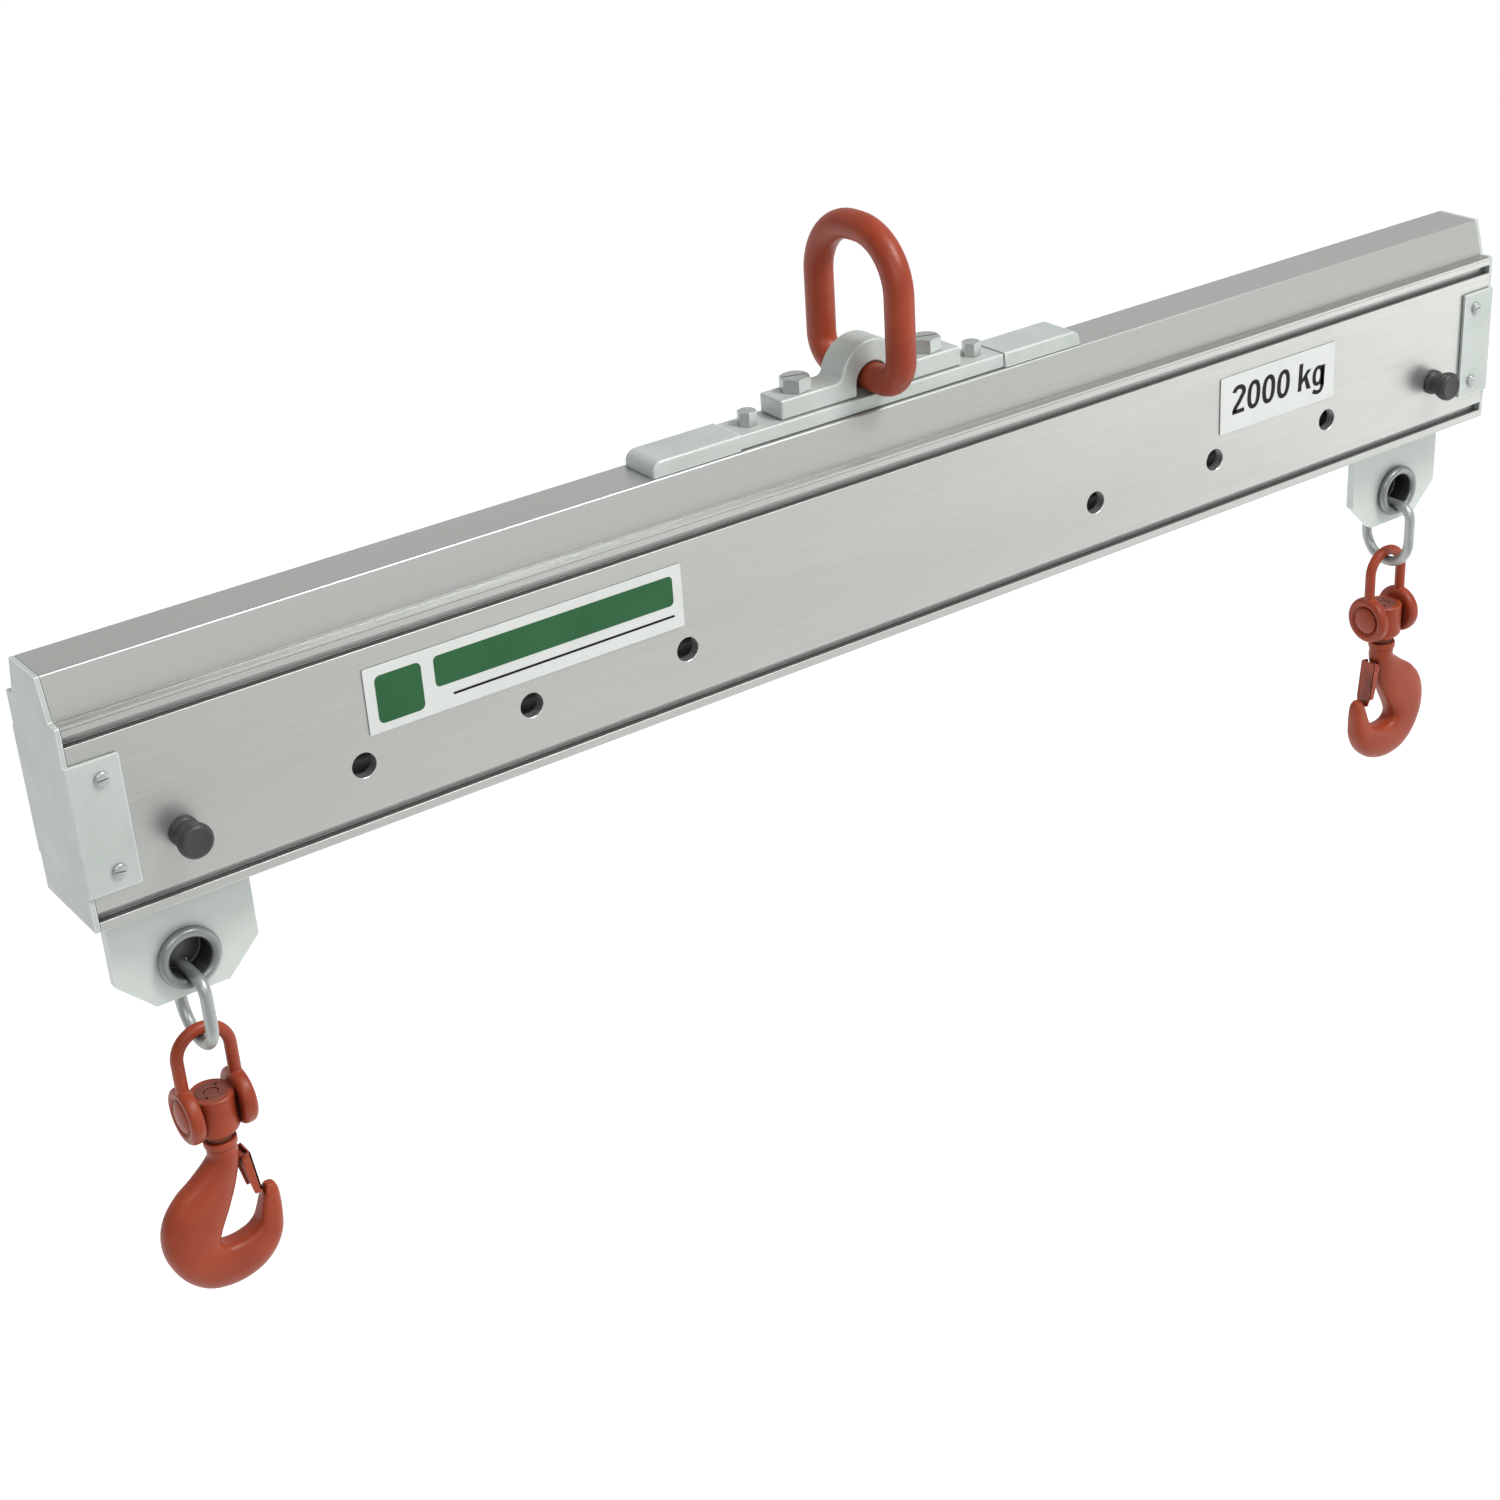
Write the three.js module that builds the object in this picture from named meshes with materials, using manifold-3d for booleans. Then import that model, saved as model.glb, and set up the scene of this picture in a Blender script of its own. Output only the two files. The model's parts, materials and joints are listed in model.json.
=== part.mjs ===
// Spreader beam for a crane: an extruded aluminium rail hung from a forged master link, with two
// swivel hooks on lugs that pin into the rail. Millimetres, +X along the rail, front towards -Y,
// +Z up. The origin is the seat of the crane hook, at the inside top of the master link.
import * as THREE from 'three';
import { mergeVertices } from 'three/addons/utils/BufferGeometryUtils.js';
import Module from 'manifold-3d';

const wasm = await Module();
wasm.setup();

// ---- Driving dimensions. Heights are measured from the underside of the rail. ----
const GAP = 0.3;                    // clearance kept between touching pieces

const RAIL_LENGTH = 1500;
const WEB_WIDTH = 90;
const WEB_HEIGHT = 167;
const HEAD_BASE_WIDTH = 66;
const HEAD_TOP_WIDTH = 47;
const RAIL_HEIGHT = 200;
const GROOVE_LIP = 8;
const GROOVE_HEIGHT = 8;
const GROOVE_DEPTH = 7;
const TRACK_SLOT = 14;              // slot in the underside that the lugs reach through
const TRACK_FLOOR = 10;

const HOLE_PITCH = 150;
const INNER_HOLE_X = 225;
const HOLES_PER_SIDE = 4;
const HOLE_HEIGHT = 57;
const HOLE_DIAMETER = 21;
const PIN_DIAMETER = 20;
const PIN_BALL_Y = 48;              // detent ball, just behind the rear wall
const LUG_X = INNER_HOLE_X + (HOLES_PER_SIDE - 1) * HOLE_PITCH;

const END_PLATE = 4;
const TAB_LENGTH = 41;
const TAB_HEIGHT = 106;
const TAB_THICKNESS = 3;
const END_SCREW_X = RAIL_LENGTH / 2 - 21;
const END_SCREW_SPACING = 75;

const PAD_LENGTH = 88;
const PAD_WIDTH = 42;
const PAD_HEIGHT = 13.3;
const BAR_LENGTH = 282;
const BAR_WIDTH = 38;
const BAR_HEIGHT = 12;

const YOKE_LENGTH = 192;
const YOKE_DEPTH = 31;
const FOOT_THICKNESS = 17;
const ARCH_RADIUS = 33;
const ARCH_HEIGHT = 47;
const ARCH_OPENING = 17;            // half width of the space under the arch
const ARCH_CLEARANCE = 27.2;        // height of that space
const YOKE_BOLT_X = 70;
const BASE_SCREW_X = 120.5;
const BOLT_RADIUS = 8;
const BOLT_END = 176;
const SCREW_RADIUS = 4;
const SCREW_END = 182;
const DRILL_EXTRA = 0.4;            // a drilled hole's radius over its bolt's
const ROOF_UNDERSIDE = 192;         // inside the head of the rail

const LINK_WIRE = 25.5;
const LINK_HALF_WIDTH = 54;         // to the middle of the wire
const LINK_HEIGHT = 126.5;          // between wire middles, bottom to top
const LINK_TOP_RADIUS = 50;
const LINK_BOTTOM_RADIUS = 24;

const LUG_WIDTH = 120;
const LUG_THICKNESS = 10;
const LUG_BOTTOM = -103;
const LUG_CHAMFER = 29;
const LUG_TOP = 84;
const EYE_HEIGHT = -69;             // middle of the bush in the lug
const BUSH_BORE = 35;
const SADDLE_DEPTH = 3.3;           // the ring's seat, cut into the bottom of the bush

const RING_WIRE = 10.3;
const RING_HALF_WIDTH = 28;
const RING_TOP_RADIUS = 12.8;
const BOW_WIRE = 10.6;
const BOW_HALF_WIDTH = 22.8;
const BOW_TOP = -138.3;             // middle of the wire at the top of the bow
const TRUNNION_HEIGHT = -210.3;
const EAR_RADIUS = 24.5;
const EAR_INNER = 16.5;
const EAR_OUTER = 29;
const DISH_DEPTH = 3;                // how far the pin head sits back in the ear
const BODY_RADIUS = 18.5;
const BODY_FLAT = 16.2;             // half width between the flats that face the ears
const BODY_TOP = -197.5;
const BODY_BOTTOM = -236.5;
const SHANK_DIAMETER = 14;
const NECK_RADIUS = 12.5;
const COLLAR_RADIUS = 13.8;
const COLLAR_TOP = -240.8;
const COLLAR_BOTTOM = -247.5;

// The hook from neck to tip: outer edge, inner edge (sideways from the swivel axis, height) and
// half thickness across the beam.
const HOOK_SECTIONS = [
  [[-12.5, -250], [12.5, -250], 12.5],
  [[-13.5, -258], [12.5, -262], 12.5],
  [[-30, -271.5], [5.5, -286], 12.5],
  [[-45.7, -282.5], [-2, -302], 12.8],
  [[-58.3, -298.5], [-9, -315], 13],
  [[-63.3, -317.4], [-14, -325], 13.2],
  [[-61, -338], [-16.5, -333], 13.4],
  [[-50, -360], [-14, -338], 13.6],
  [[-32, -375.3], [-9.5, -340], 13.6],
  [[-8, -380], [-3, -340.5], 13.4],
  [[14, -375], [4, -339.8], 13],
  [[29.5, -363], [11.5, -337.5], 12.2],
  [[38, -347], [17.5, -332.5], 11.2],
  [[40.4, -330], [20.8, -325.5], 9.8],
  [[40.8, -318], [24, -316], 8.4],
  [[40.2, -308.5], [26.8, -307.5], 7],
  [[37.9, -302.4], [30.2, -301.8], 4],
];
const FIRST_FULL_SECTION = 2;       // from here the section is squarer on its inner side
const SQUARENESS = 0.78;
const LATCH_PIVOT = [14.2, -268];
const LATCH_TOP = [19.6, -261];     // outer face of the latch, top and tip
const LATCH_TIP = [25.4, -309.5];
const LATCH_HALF_WIDTH = 8.6;
const LATCH_SHEET = 1.4;
const LATCH_PIN_RADIUS = 1.6;
const LATCH_BOSS = 4;               // radius and half width of the hook's eye for the latch pin

// ---- Finishes ----
const FINISH = {
  rail: [0xc6c8c6, 0.38, 0.9],
  zinc: [0xbcc5c0, 0.5, 0.55],
  bolt: [0xc2c8c6, 0.35, 0.8],
  bush: [0x8f9492, 0.45, 0.8],
  ring: [0x9aa3a0, 0.4, 0.8],
  orange: [0xa8412c, 0.42, 0.0],
  black: [0x2c2d2b, 0.5, 0.0],
  pin: [0xb4b8b8, 0.35, 0.9],
  spring: [0x8a8f92, 0.35, 0.9],
  label: [0xf2f3f1, 0.45, 0.0],
};

// ---- Geometry helpers ----
const vec2 = (points) => points.map(([x, y]) => new THREE.Vector2(x, y));

function facingOut(geometry) {
  const bare = geometry.clone();
  bare.deleteAttribute('normal');
  bare.deleteAttribute('uv');
  const merged = mergeVertices(bare, 1e-3);
  const { index, attributes: { position } } = merged;
  const corner = [0, 1, 2].map(() => new THREE.Vector3());
  const kept = [];
  let volume = 0;
  for (let i = 0; i < index.count; i += 3) {
    const ids = [0, 1, 2].map((k) => index.getX(i + k));
    if (new Set(ids).size < 3) continue;
    kept.push(ids);
    ids.forEach((id, k) => corner[k].fromBufferAttribute(position, id));
    volume += corner[0].dot(corner[1].clone().cross(corner[2]));
  }
  merged.setIndex(kept.flatMap(([a, b, c]) => (volume < 0 ? [a, c, b] : [a, b, c])));
  return merged;
}

function toManifold(geometry) {
  const closed = facingOut(geometry);
  return new wasm.Manifold(new wasm.Mesh({
    numProp: 3,
    vertProperties: Float32Array.from(closed.attributes.position.array),
    triVerts: Uint32Array.from(closed.index.array),
  }));
}

function fromManifold(manifold) {
  const { vertProperties, triVerts } = manifold.getMesh();
  const geometry = new THREE.BufferGeometry();
  geometry.setAttribute('position', new THREE.BufferAttribute(vertProperties, 3));
  geometry.setIndex(new THREE.BufferAttribute(triVerts, 1));
  return geometry;
}

function join(first, ...others) {
  return fromManifold(others.reduce((sum, g) => sum.add(toManifold(g)), toManifold(first)));
}

function cut(body, ...tools) {
  return fromManifold(tools.reduce((rest, g) => rest.subtract(toManifold(g)), toManifold(body)));
}

function box(x0, x1, y0, y1, z0, z1) {
  const geometry = new THREE.BoxGeometry(x1 - x0, y1 - y0, z1 - z0);
  return geometry.translate((x0 + x1) / 2, (y0 + y1) / 2, (z0 + z1) / 2);
}

// A rod along one axis, between two places on it.
function rod(axis, from, to, radius, at, sides = 20) {
  const geometry = new THREE.CylinderGeometry(radius, radius, to - from, sides);
  geometry.translate(0, (from + to) / 2, 0);
  if (axis === 'x') geometry.rotateZ(-Math.PI / 2);
  if (axis === 'z') geometry.rotateX(Math.PI / 2);
  return geometry.translate(...at);
}

function extrudeAlongX(outline, from, to) {
  const shape = new THREE.Shape(vec2(outline));
  const geometry = new THREE.ExtrudeGeometry(shape, { depth: to - from, bevelEnabled: false });
  const axes = new THREE.Matrix4().makeBasis(
    new THREE.Vector3(0, 1, 0), new THREE.Vector3(0, 0, 1), new THREE.Vector3(1, 0, 0));
  return geometry.applyMatrix4(axes).translate(from, 0, 0);
}

function extrudeAlongY(shape, from, to, curveSegments = 8) {
  const options = { depth: to - from, bevelEnabled: false, curveSegments };
  return new THREE.ExtrudeGeometry(shape, options).rotateX(Math.PI / 2).translate(0, to, 0);
}

// A turned piece: radius and place along its axis, which is 'y', or 'z' pointing up, or 'x'.
function turned(profile, axis, at = [0, 0, 0], sides = 24) {
  const geometry = new THREE.LatheGeometry(vec2(profile), sides);
  if (axis === 'x') geometry.rotateZ(-Math.PI / 2);
  if (axis === 'z') geometry.rotateX(Math.PI / 2);
  return geometry.translate(...at);
}

// A skin over rings of points. A closed one runs back to its first ring, an open one has ends.
function loft(rings, closed) {
  const sides = rings[0].length;
  const positions = rings.flat().flatMap((p) => [p.x, p.y, p.z]);
  const index = [];
  const last = closed ? rings.length : rings.length - 1;
  for (let i = 0; i < last; i += 1) {
    const next = (i + 1) % rings.length;
    for (let k = 0; k < sides; k += 1) {
      const a = i * sides + k;
      const b = i * sides + ((k + 1) % sides);
      const c = next * sides + k;
      const d = next * sides + ((k + 1) % sides);
      index.push(a, b, d, a, d, c);
    }
  }
  if (!closed) {
    const end = (rings.length - 1) * sides;
    for (let k = 1; k < sides - 1; k += 1) {
      index.push(0, k + 1, k, end, end + k, end + k + 1);
    }
  }
  const geometry = new THREE.BufferGeometry();
  geometry.setAttribute('position', new THREE.Float32BufferAttribute(positions, 3));
  geometry.setIndex(index);
  return geometry;
}

function circle(middle, outward, across, radius, sides) {
  return Array.from({ length: sides }, (_, k) => {
    const angle = (2 * Math.PI * k) / sides;
    return middle.clone()
      .addScaledVector(outward, radius * Math.cos(angle))
      .addScaledVector(across, radius * Math.sin(angle));
  });
}

// An oval of round wire in the YZ plane, with its own corner radius at the top and the bottom.
function wireOval(x, halfWidth, top, bottom, topRadius, bottomRadius, wire, steps, sides) {
  const middles = [];
  const corner = (y, z, radius, startAngle) => {
    for (let i = 0; i <= steps; i += 1) {
      const angle = startAngle + (Math.PI / 2) * (i / steps);
      const outward = new THREE.Vector3(0, Math.cos(angle), Math.sin(angle));
      middles.push([new THREE.Vector3(x, y, z).addScaledVector(outward, radius), outward]);
    }
  };
  corner(halfWidth - topRadius, top - topRadius, topRadius, 0);
  corner(topRadius - halfWidth, top - topRadius, topRadius, Math.PI / 2);
  corner(bottomRadius - halfWidth, bottom + bottomRadius, bottomRadius, Math.PI);
  corner(halfWidth - bottomRadius, bottom + bottomRadius, bottomRadius, 1.5 * Math.PI);
  const distinct = middles.filter(([p], i) => p.distanceTo(middles.at(i - 1)[0]) > 0.01);
  const across = new THREE.Vector3(1, 0, 0);
  return loft(distinct.map(([p, out]) => circle(p, out, across, wire / 2, sides)), true);
}

function hexPrism(acrossFlats, from, to, at) {
  return rod('z', from, to, acrossFlats / Math.sqrt(3), at, 6);
}

// ---- Scene ----
const beam = new THREE.Group();
beam.name = 'spreader_beam';
const hanging = new THREE.Group();
beam.add(hanging);

function add(name, finish, geometry) {
  const [color, roughness, metalness] = FINISH[finish];
  const material = new THREE.MeshStandardMaterial({ color, roughness, metalness });
  const mesh = new THREE.Mesh(facingOut(geometry), material);
  mesh.name = name;
  hanging.add(mesh);
}

const holes = Array.from({ length: HOLES_PER_SIDE }, (_, i) => INNER_HOLE_X + i * HOLE_PITCH);
const sides = [['left', -1], ['right', 1]];
const halfRail = RAIL_LENGTH / 2;
const webMiddle = WEB_HEIGHT / 2;
const endScrewHeights = [webMiddle - END_SCREW_SPACING / 2, webMiddle + END_SCREW_SPACING / 2];
const barTop = RAIL_HEIGHT + GAP + BAR_HEIGHT;
const footBottom = barTop + GAP;
const footTop = footBottom + FOOT_THICKNESS;
const archMiddle = footBottom + ARCH_HEIGHT - ARCH_RADIUS;
const openingTop = footBottom + ARCH_CLEARANCE;
const linkBottom = openingTop - GAP - LINK_WIRE / 2;
const linkTop = linkBottom + LINK_HEIGHT;
hanging.position.z = -(linkTop - LINK_WIRE / 2);

// Holes for the yoke bolts and the base screws, between two heights
function suspensionDrills(low, high) {
  return sides.flatMap(([, side]) => [
    rod('z', low, high, BOLT_RADIUS + DRILL_EXTRA, [side * YOKE_BOLT_X, 0, 0], 12),
    rod('z', low, high, SCREW_RADIUS + DRILL_EXTRA, [side * BASE_SCREW_X, 0, 0], 10),
  ]);
}

// ---- Rail ----
// Half of the outline, from the slot in the underside round to the top
function railOuter() {
  const wide = WEB_WIDTH / 2;
  const deep = wide - GROOVE_DEPTH;
  const lowGroove = GROOVE_LIP + GROOVE_HEIGHT;
  const highGroove = WEB_HEIGHT - lowGroove;
  return [
    [TRACK_SLOT / 2, 0], [wide, 0], [wide, GROOVE_LIP], [deep, GROOVE_LIP],
    [deep, lowGroove], [wide, lowGroove], [wide, highGroove], [deep, highGroove],
    [deep, WEB_HEIGHT - GROOVE_LIP], [wide, WEB_HEIGHT - GROOVE_LIP], [wide, WEB_HEIGHT],
    [HEAD_BASE_WIDTH / 2, WEB_HEIGHT], [HEAD_TOP_WIDTH / 2, RAIL_HEIGHT],
  ];
}

function railInner() {
  return [
    [TRACK_SLOT / 2, TRACK_FLOOR], [30, TRACK_FLOOR], [30, 22], [36, 28], [36, 139],
    [30, 145], [30, 157], [22, 160], [15, ROOF_UNDERSIDE],
  ];
}

function rail() {
  const outer = railOuter();
  const inner = railInner();
  const mirrored = (points) => points.map(([y, z]) => [-y, z]);
  const outline = [
    ...outer, ...mirrored(outer).reverse(), ...mirrored(inner), ...inner.reverse(),
  ];
  const drills = suspensionDrills(ROOF_UNDERSIDE - 10, RAIL_HEIGHT + 10);
  for (const [, side] of sides) {
    for (const x of holes) {
      drills.push(rod('y', -60, 60, HOLE_DIAMETER / 2, [side * x, 0, HOLE_HEIGHT], 14));
    }
    for (const z of endScrewHeights) {
      drills.push(rod('y', -60, 60, 3.4, [side * END_SCREW_X, 0, z], 8));
    }
  }
  return cut(extrudeAlongX(outline, -halfRail, halfRail), ...drills);
}

add('beam_rail', 'rail', rail());

// ---- End plates with bent tabs, and their screws ----
function endPlate(side) {
  const wide = WEB_WIDTH / 2;
  const half = [[wide, 0], [wide, WEB_HEIGHT], [HEAD_BASE_WIDTH / 2, WEB_HEIGHT],
    [HEAD_TOP_WIDTH / 2, RAIL_HEIGHT]];
  const outline = [...half, ...half.map(([y, z]) => [-y, z]).reverse()];
  const inner = halfRail + GAP;
  const outer = inner + END_PLATE;
  const tabs = [-1, 1].map((face) => {
    const y = [face * (wide + GAP), face * (wide + GAP + TAB_THICKNESS)].sort((a, b) => a - b);
    return box(outer - TAB_LENGTH, outer, y[0], y[1],
      webMiddle - TAB_HEIGHT / 2, webMiddle + TAB_HEIGHT / 2);
  });
  const bends = [-1, 1].map((face) => {
    const y = [face * (wide - 4), face * (wide + GAP + 0.5)].sort((a, b) => a - b);
    return box(inner, outer, y[0], y[1],
      webMiddle - TAB_HEIGHT / 2, webMiddle + TAB_HEIGHT / 2);
  });
  const body = join(extrudeAlongX(outline, inner, outer), ...tabs, ...bends);
  const drills = endScrewHeights.map((z) => rod('y', -60, 60, 3.4, [END_SCREW_X, 0, z], 8));
  const plate = cut(body, ...drills);
  return side < 0 ? plate.rotateZ(Math.PI) : plate;
}

function endScrew(x, face, z) {
  const seat = WEB_WIDTH / 2 + GAP + TAB_THICKNESS + GAP;
  const head = turned([[0, -13], [3, -13], [3, 0], [5.6, 0], [5.2, 2.6], [0, 3.2]], 'y',
    [0, seat, 0], 10);
  const slot = box(-6, 6, seat + 2, seat + 4, -0.7, 0.7).rotateY(0.7);
  const screw = cut(head, slot);
  if (face < 0) screw.rotateZ(Math.PI);
  return screw.translate(x, 0, z);
}

for (const [name, side] of sides) {
  add(`${name}_end_plate`, 'zinc', endPlate(side));
  for (const [faceName, face] of [['front', -1], ['rear', 1]]) {
    endScrewHeights.forEach((z, level) => {
      const height = ['lower', 'upper'][level];
      add(`${name}_${faceName}_${height}_screw`, 'bolt', endScrew(side * END_SCREW_X, face, z));
    });
  }
}

// ---- Plates on the front of the web ----
function facePlate(x0, x1, z0, z1) {
  const back = -WEB_WIDTH / 2 - GAP;
  return box(x0, x1, back - 1, back, z0, z1);
}
add('name_plate', 'label', facePlate(-517, -227, 79.5, 134.5));
add('capacity_plate', 'label', facePlate(380, 531, 79.5, 134.5));

// ---- Suspension: base bar, pads, yoke, bolts ----
function baseBar() {
  const bar = box(-BAR_LENGTH / 2, BAR_LENGTH / 2, -BAR_WIDTH / 2, BAR_WIDTH / 2,
    RAIL_HEIGHT + GAP, barTop);
  return cut(bar, ...suspensionDrills(RAIL_HEIGHT - 10, barTop + 10));
}

// A pad with its outer end rounded down to the rail, and its inner end square.
function basePad(side) {
  const inner = BAR_LENGTH / 2 + GAP;
  const outer = inner + PAD_LENGTH;
  const low = RAIL_HEIGHT + GAP;
  const high = low + PAD_HEIGHT;
  const round = 10;
  const shape = new THREE.Shape();
  shape.moveTo(inner, low);
  shape.lineTo(outer, low);
  shape.lineTo(outer, high - round);
  shape.absarc(outer - round, high - round, round, 0, Math.PI / 2, false);
  shape.lineTo(inner, high);
  const pad = extrudeAlongY(shape, -PAD_WIDTH / 2, PAD_WIDTH / 2, 5);
  return side < 0 ? pad.rotateZ(Math.PI) : pad;
}

function yoke() {
  const end = YOKE_LENGTH / 2;
  const shape = new THREE.Shape();
  const spring = openingTop - ARCH_OPENING;
  shape.moveTo(-end, footBottom);
  shape.lineTo(-ARCH_OPENING, footBottom);
  shape.lineTo(-ARCH_OPENING, spring);
  shape.absarc(0, spring, ARCH_OPENING, Math.PI, 0, true);
  shape.lineTo(ARCH_OPENING, footBottom);
  shape.lineTo(end, footBottom);
  shape.lineTo(end, footTop);
  shape.lineTo(ARCH_RADIUS + 6, footTop);
  shape.quadraticCurveTo(ARCH_RADIUS, footTop, ARCH_RADIUS - 1, footTop + 6);
  shape.absarc(0, archMiddle, ARCH_RADIUS, 0.21, Math.PI - 0.21, false);
  shape.quadraticCurveTo(-ARCH_RADIUS, footTop, -ARCH_RADIUS - 6, footTop);
  shape.lineTo(-end, footTop);
  const body = extrudeAlongY(shape, -YOKE_DEPTH / 2, YOKE_DEPTH / 2, 10);
  return cut(body, ...suspensionDrills(footBottom - 10, footTop + 10));
}

function yokeBolt(x) {
  const seat = footTop + GAP;
  const shank = rod('z', BOLT_END, seat + 1, BOLT_RADIUS, [0, 0, 0], 12);
  const slot = box(-16, 16, -1.5, 1.5, seat + 9.6, seat + 14);
  return cut(join(hexPrism(24, seat, seat + 12, [0, 0, 0]), shank), slot).translate(x, 0, 0);
}

function baseScrew(x) {
  const seat = barTop + GAP;
  const shank = rod('z', SCREW_END, seat + 1, SCREW_RADIUS, [0, 0, 0], 10);
  return join(hexPrism(15, seat, seat + 12, [0, 0, 0]), shank).translate(x, 0, 0);
}

// A nut under the roof inside the head of the rail
function roofNut(x, acrossFlats, height, boltRadius) {
  const top = ROOF_UNDERSIDE - GAP;
  const bore = rod('z', top - height - 1, top + 1, boltRadius + DRILL_EXTRA, [0, 0, 0], 12);
  return cut(hexPrism(acrossFlats, top - height, top, [0, 0, 0]), bore).translate(x, 0, 0);
}

add('base_bar', 'zinc', baseBar());
add('yoke', 'zinc', yoke());
for (const [name, side] of sides) {
  add(`${name}_base_pad`, 'zinc', basePad(side));
  add(`${name}_yoke_bolt`, 'bolt', yokeBolt(side * YOKE_BOLT_X));
  add(`${name}_yoke_nut`, 'bolt', roofNut(side * YOKE_BOLT_X, 24, 13, BOLT_RADIUS));
  add(`${name}_base_screw`, 'bolt', baseScrew(side * BASE_SCREW_X));
  add(`${name}_base_nut`, 'bolt', roofNut(side * BASE_SCREW_X, 13, 6.5, SCREW_RADIUS));
}

add('master_link', 'orange', wireOval(0, LINK_HALF_WIDTH, linkTop, linkBottom,
  LINK_TOP_RADIUS, LINK_BOTTOM_RADIUS, LINK_WIRE, 5, 12));

// ---- Lug in the track, with its bush and its pin ----
function lug(x) {
  const half = LUG_WIDTH / 2;
  const low = LUG_BOTTOM;
  const shape = new THREE.Shape(vec2([
    [-half + LUG_CHAMFER, low], [half - LUG_CHAMFER, low], [half, low + LUG_CHAMFER],
    [half, LUG_TOP], [-half, LUG_TOP], [-half, low + LUG_CHAMFER],
  ]));
  const plate = extrudeAlongY(shape, -LUG_THICKNESS / 2, LUG_THICKNESS / 2);
  const runner = box(-half, half, -25, 25, TRACK_FLOOR + 1.5, TRACK_FLOOR + 10);
  const pinHole = rod('y', -30, 30, HOLE_DIAMETER / 2, [0, 0, HOLE_HEIGHT], 14);
  const eye = rod('y', -30, 30, 22.5, [0, 0, EYE_HEIGHT], 16);
  return cut(join(plate, runner), pinHole, eye).translate(x, 0, 0);
}

// The bush is a cup with a rolled lip each side of the lug. The ring sits in a saddle across
// its bottom, which also takes it out through the rear wall.
function lugBush(x) {
  const bore = BUSH_BORE / 2;
  const face = LUG_THICKNESS / 2 + GAP;
  const profile = [
    [0, 10.5], [bore, 10.5], [bore, -11], [bore + 2.6, -13.6], [bore + 6.4, -12.4],
    [bore + 8.5, -8.5], [bore + 7.6, -face], [22, -face], [22, face], [bore + 7.6, face],
    [bore + 8.5, 8.5], [bore + 6.4, 12.4], [bore + 2.6, 13.6], [0, 13.6],
  ];
  const seatRadius = RING_WIRE / 2 + 2 * GAP;
  const seatHeight = ringTop - EYE_HEIGHT;
  const saddle = rod('y', -20, 20, seatRadius, [0, 0, seatHeight], 12);
  const saddleMouth = box(-seatRadius, seatRadius, -20, 20, seatHeight, -bore + 5);
  return cut(turned(profile, 'y', [0, 0, 0], 16), saddle, saddleMouth).translate(x, 0, EYE_HEIGHT);
}

function pinShank(x) {
  const tip = PIN_BALL_Y + 5;
  const face = -WEB_WIDTH / 2;
  const profile = [
    [0, face - 17], [6, face - 17], [6, face + 1], [PIN_DIAMETER / 2, face + 1],
    [PIN_DIAMETER / 2, tip - 3], [PIN_DIAMETER / 2 - 3, tip], [0, tip],
  ];
  const ballSeat = rod('z', 5, PIN_DIAMETER / 2 + 2, 2.8, [0, PIN_BALL_Y, 0], 8);
  return cut(turned(profile, 'y', [0, 0, 0], 14), ballSeat).translate(x, 0, HOLE_HEIGHT);
}

function pinBall(x) {
  const ball = new THREE.SphereGeometry(2.4, 8, 6);
  return ball.translate(x, PIN_BALL_Y, HOLE_HEIGHT + PIN_DIAMETER / 2 - 2);
}

function pinKnob(x) {
  const face = -WEB_WIDTH / 2 - GAP;
  const profile = [
    [6.3, face], [12, face], [12, face - 3.6], [10.8, face - 5], [11.4, face - 9],
    [14, face - 17], [14, face - 21], [12, face - 25], [0, face - 25], [0, face - 17],
    [6.3, face - 17], [6.3, face],
  ];
  return turned(profile, 'y', [x, 0, HOLE_HEIGHT], 14);
}

// ---- Swivel hook ----
const ringTop = EYE_HEIGHT - BUSH_BORE / 2 - SADDLE_DEPTH + GAP + RING_WIRE / 2;
const ringBottom = BOW_TOP - BOW_WIRE / 2 - GAP - RING_WIRE / 2;

function earProfile() {
  return [
    [5.8, EAR_INNER], [EAR_RADIUS - 3, EAR_INNER], [EAR_RADIUS, EAR_INNER + 4],
    [EAR_RADIUS, EAR_OUTER - 4], [EAR_RADIUS - 3, EAR_OUTER], [15.2, EAR_OUTER - DISH_DEPTH],
    [5.8, EAR_OUTER - DISH_DEPTH], [5.8, EAR_INNER],
  ];
}

function bow(x) {
  const arcMiddle = BOW_TOP - BOW_HALF_WIDTH;
  const foot = TRUNNION_HEIGHT + EAR_RADIUS - 4;
  const across = new THREE.Vector3(0, 1, 0);
  const rings = [];
  const place = (px, pz, angle) => {
    const outward = new THREE.Vector3(Math.cos(angle), 0, Math.sin(angle));
    rings.push(circle(new THREE.Vector3(px, 0, pz), outward, across, BOW_WIRE / 2, 10));
  };
  place(BOW_HALF_WIDTH, foot, 0);
  for (let i = 0; i <= 10; i += 1) {
    const angle = (Math.PI * i) / 10;
    place(BOW_HALF_WIDTH * Math.cos(angle), arcMiddle + BOW_HALF_WIDTH * Math.sin(angle), angle);
  }
  place(-BOW_HALF_WIDTH, foot, Math.PI);
  const ears = [1, -1].map((side) => {
    const profile = earProfile().map(([r, along]) => [r, side * along]);
    return turned(profile, 'x', [0, 0, TRUNNION_HEIGHT], 16);
  });
  return join(loft(rings, false), ...ears).translate(x, 0, 0);
}

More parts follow.
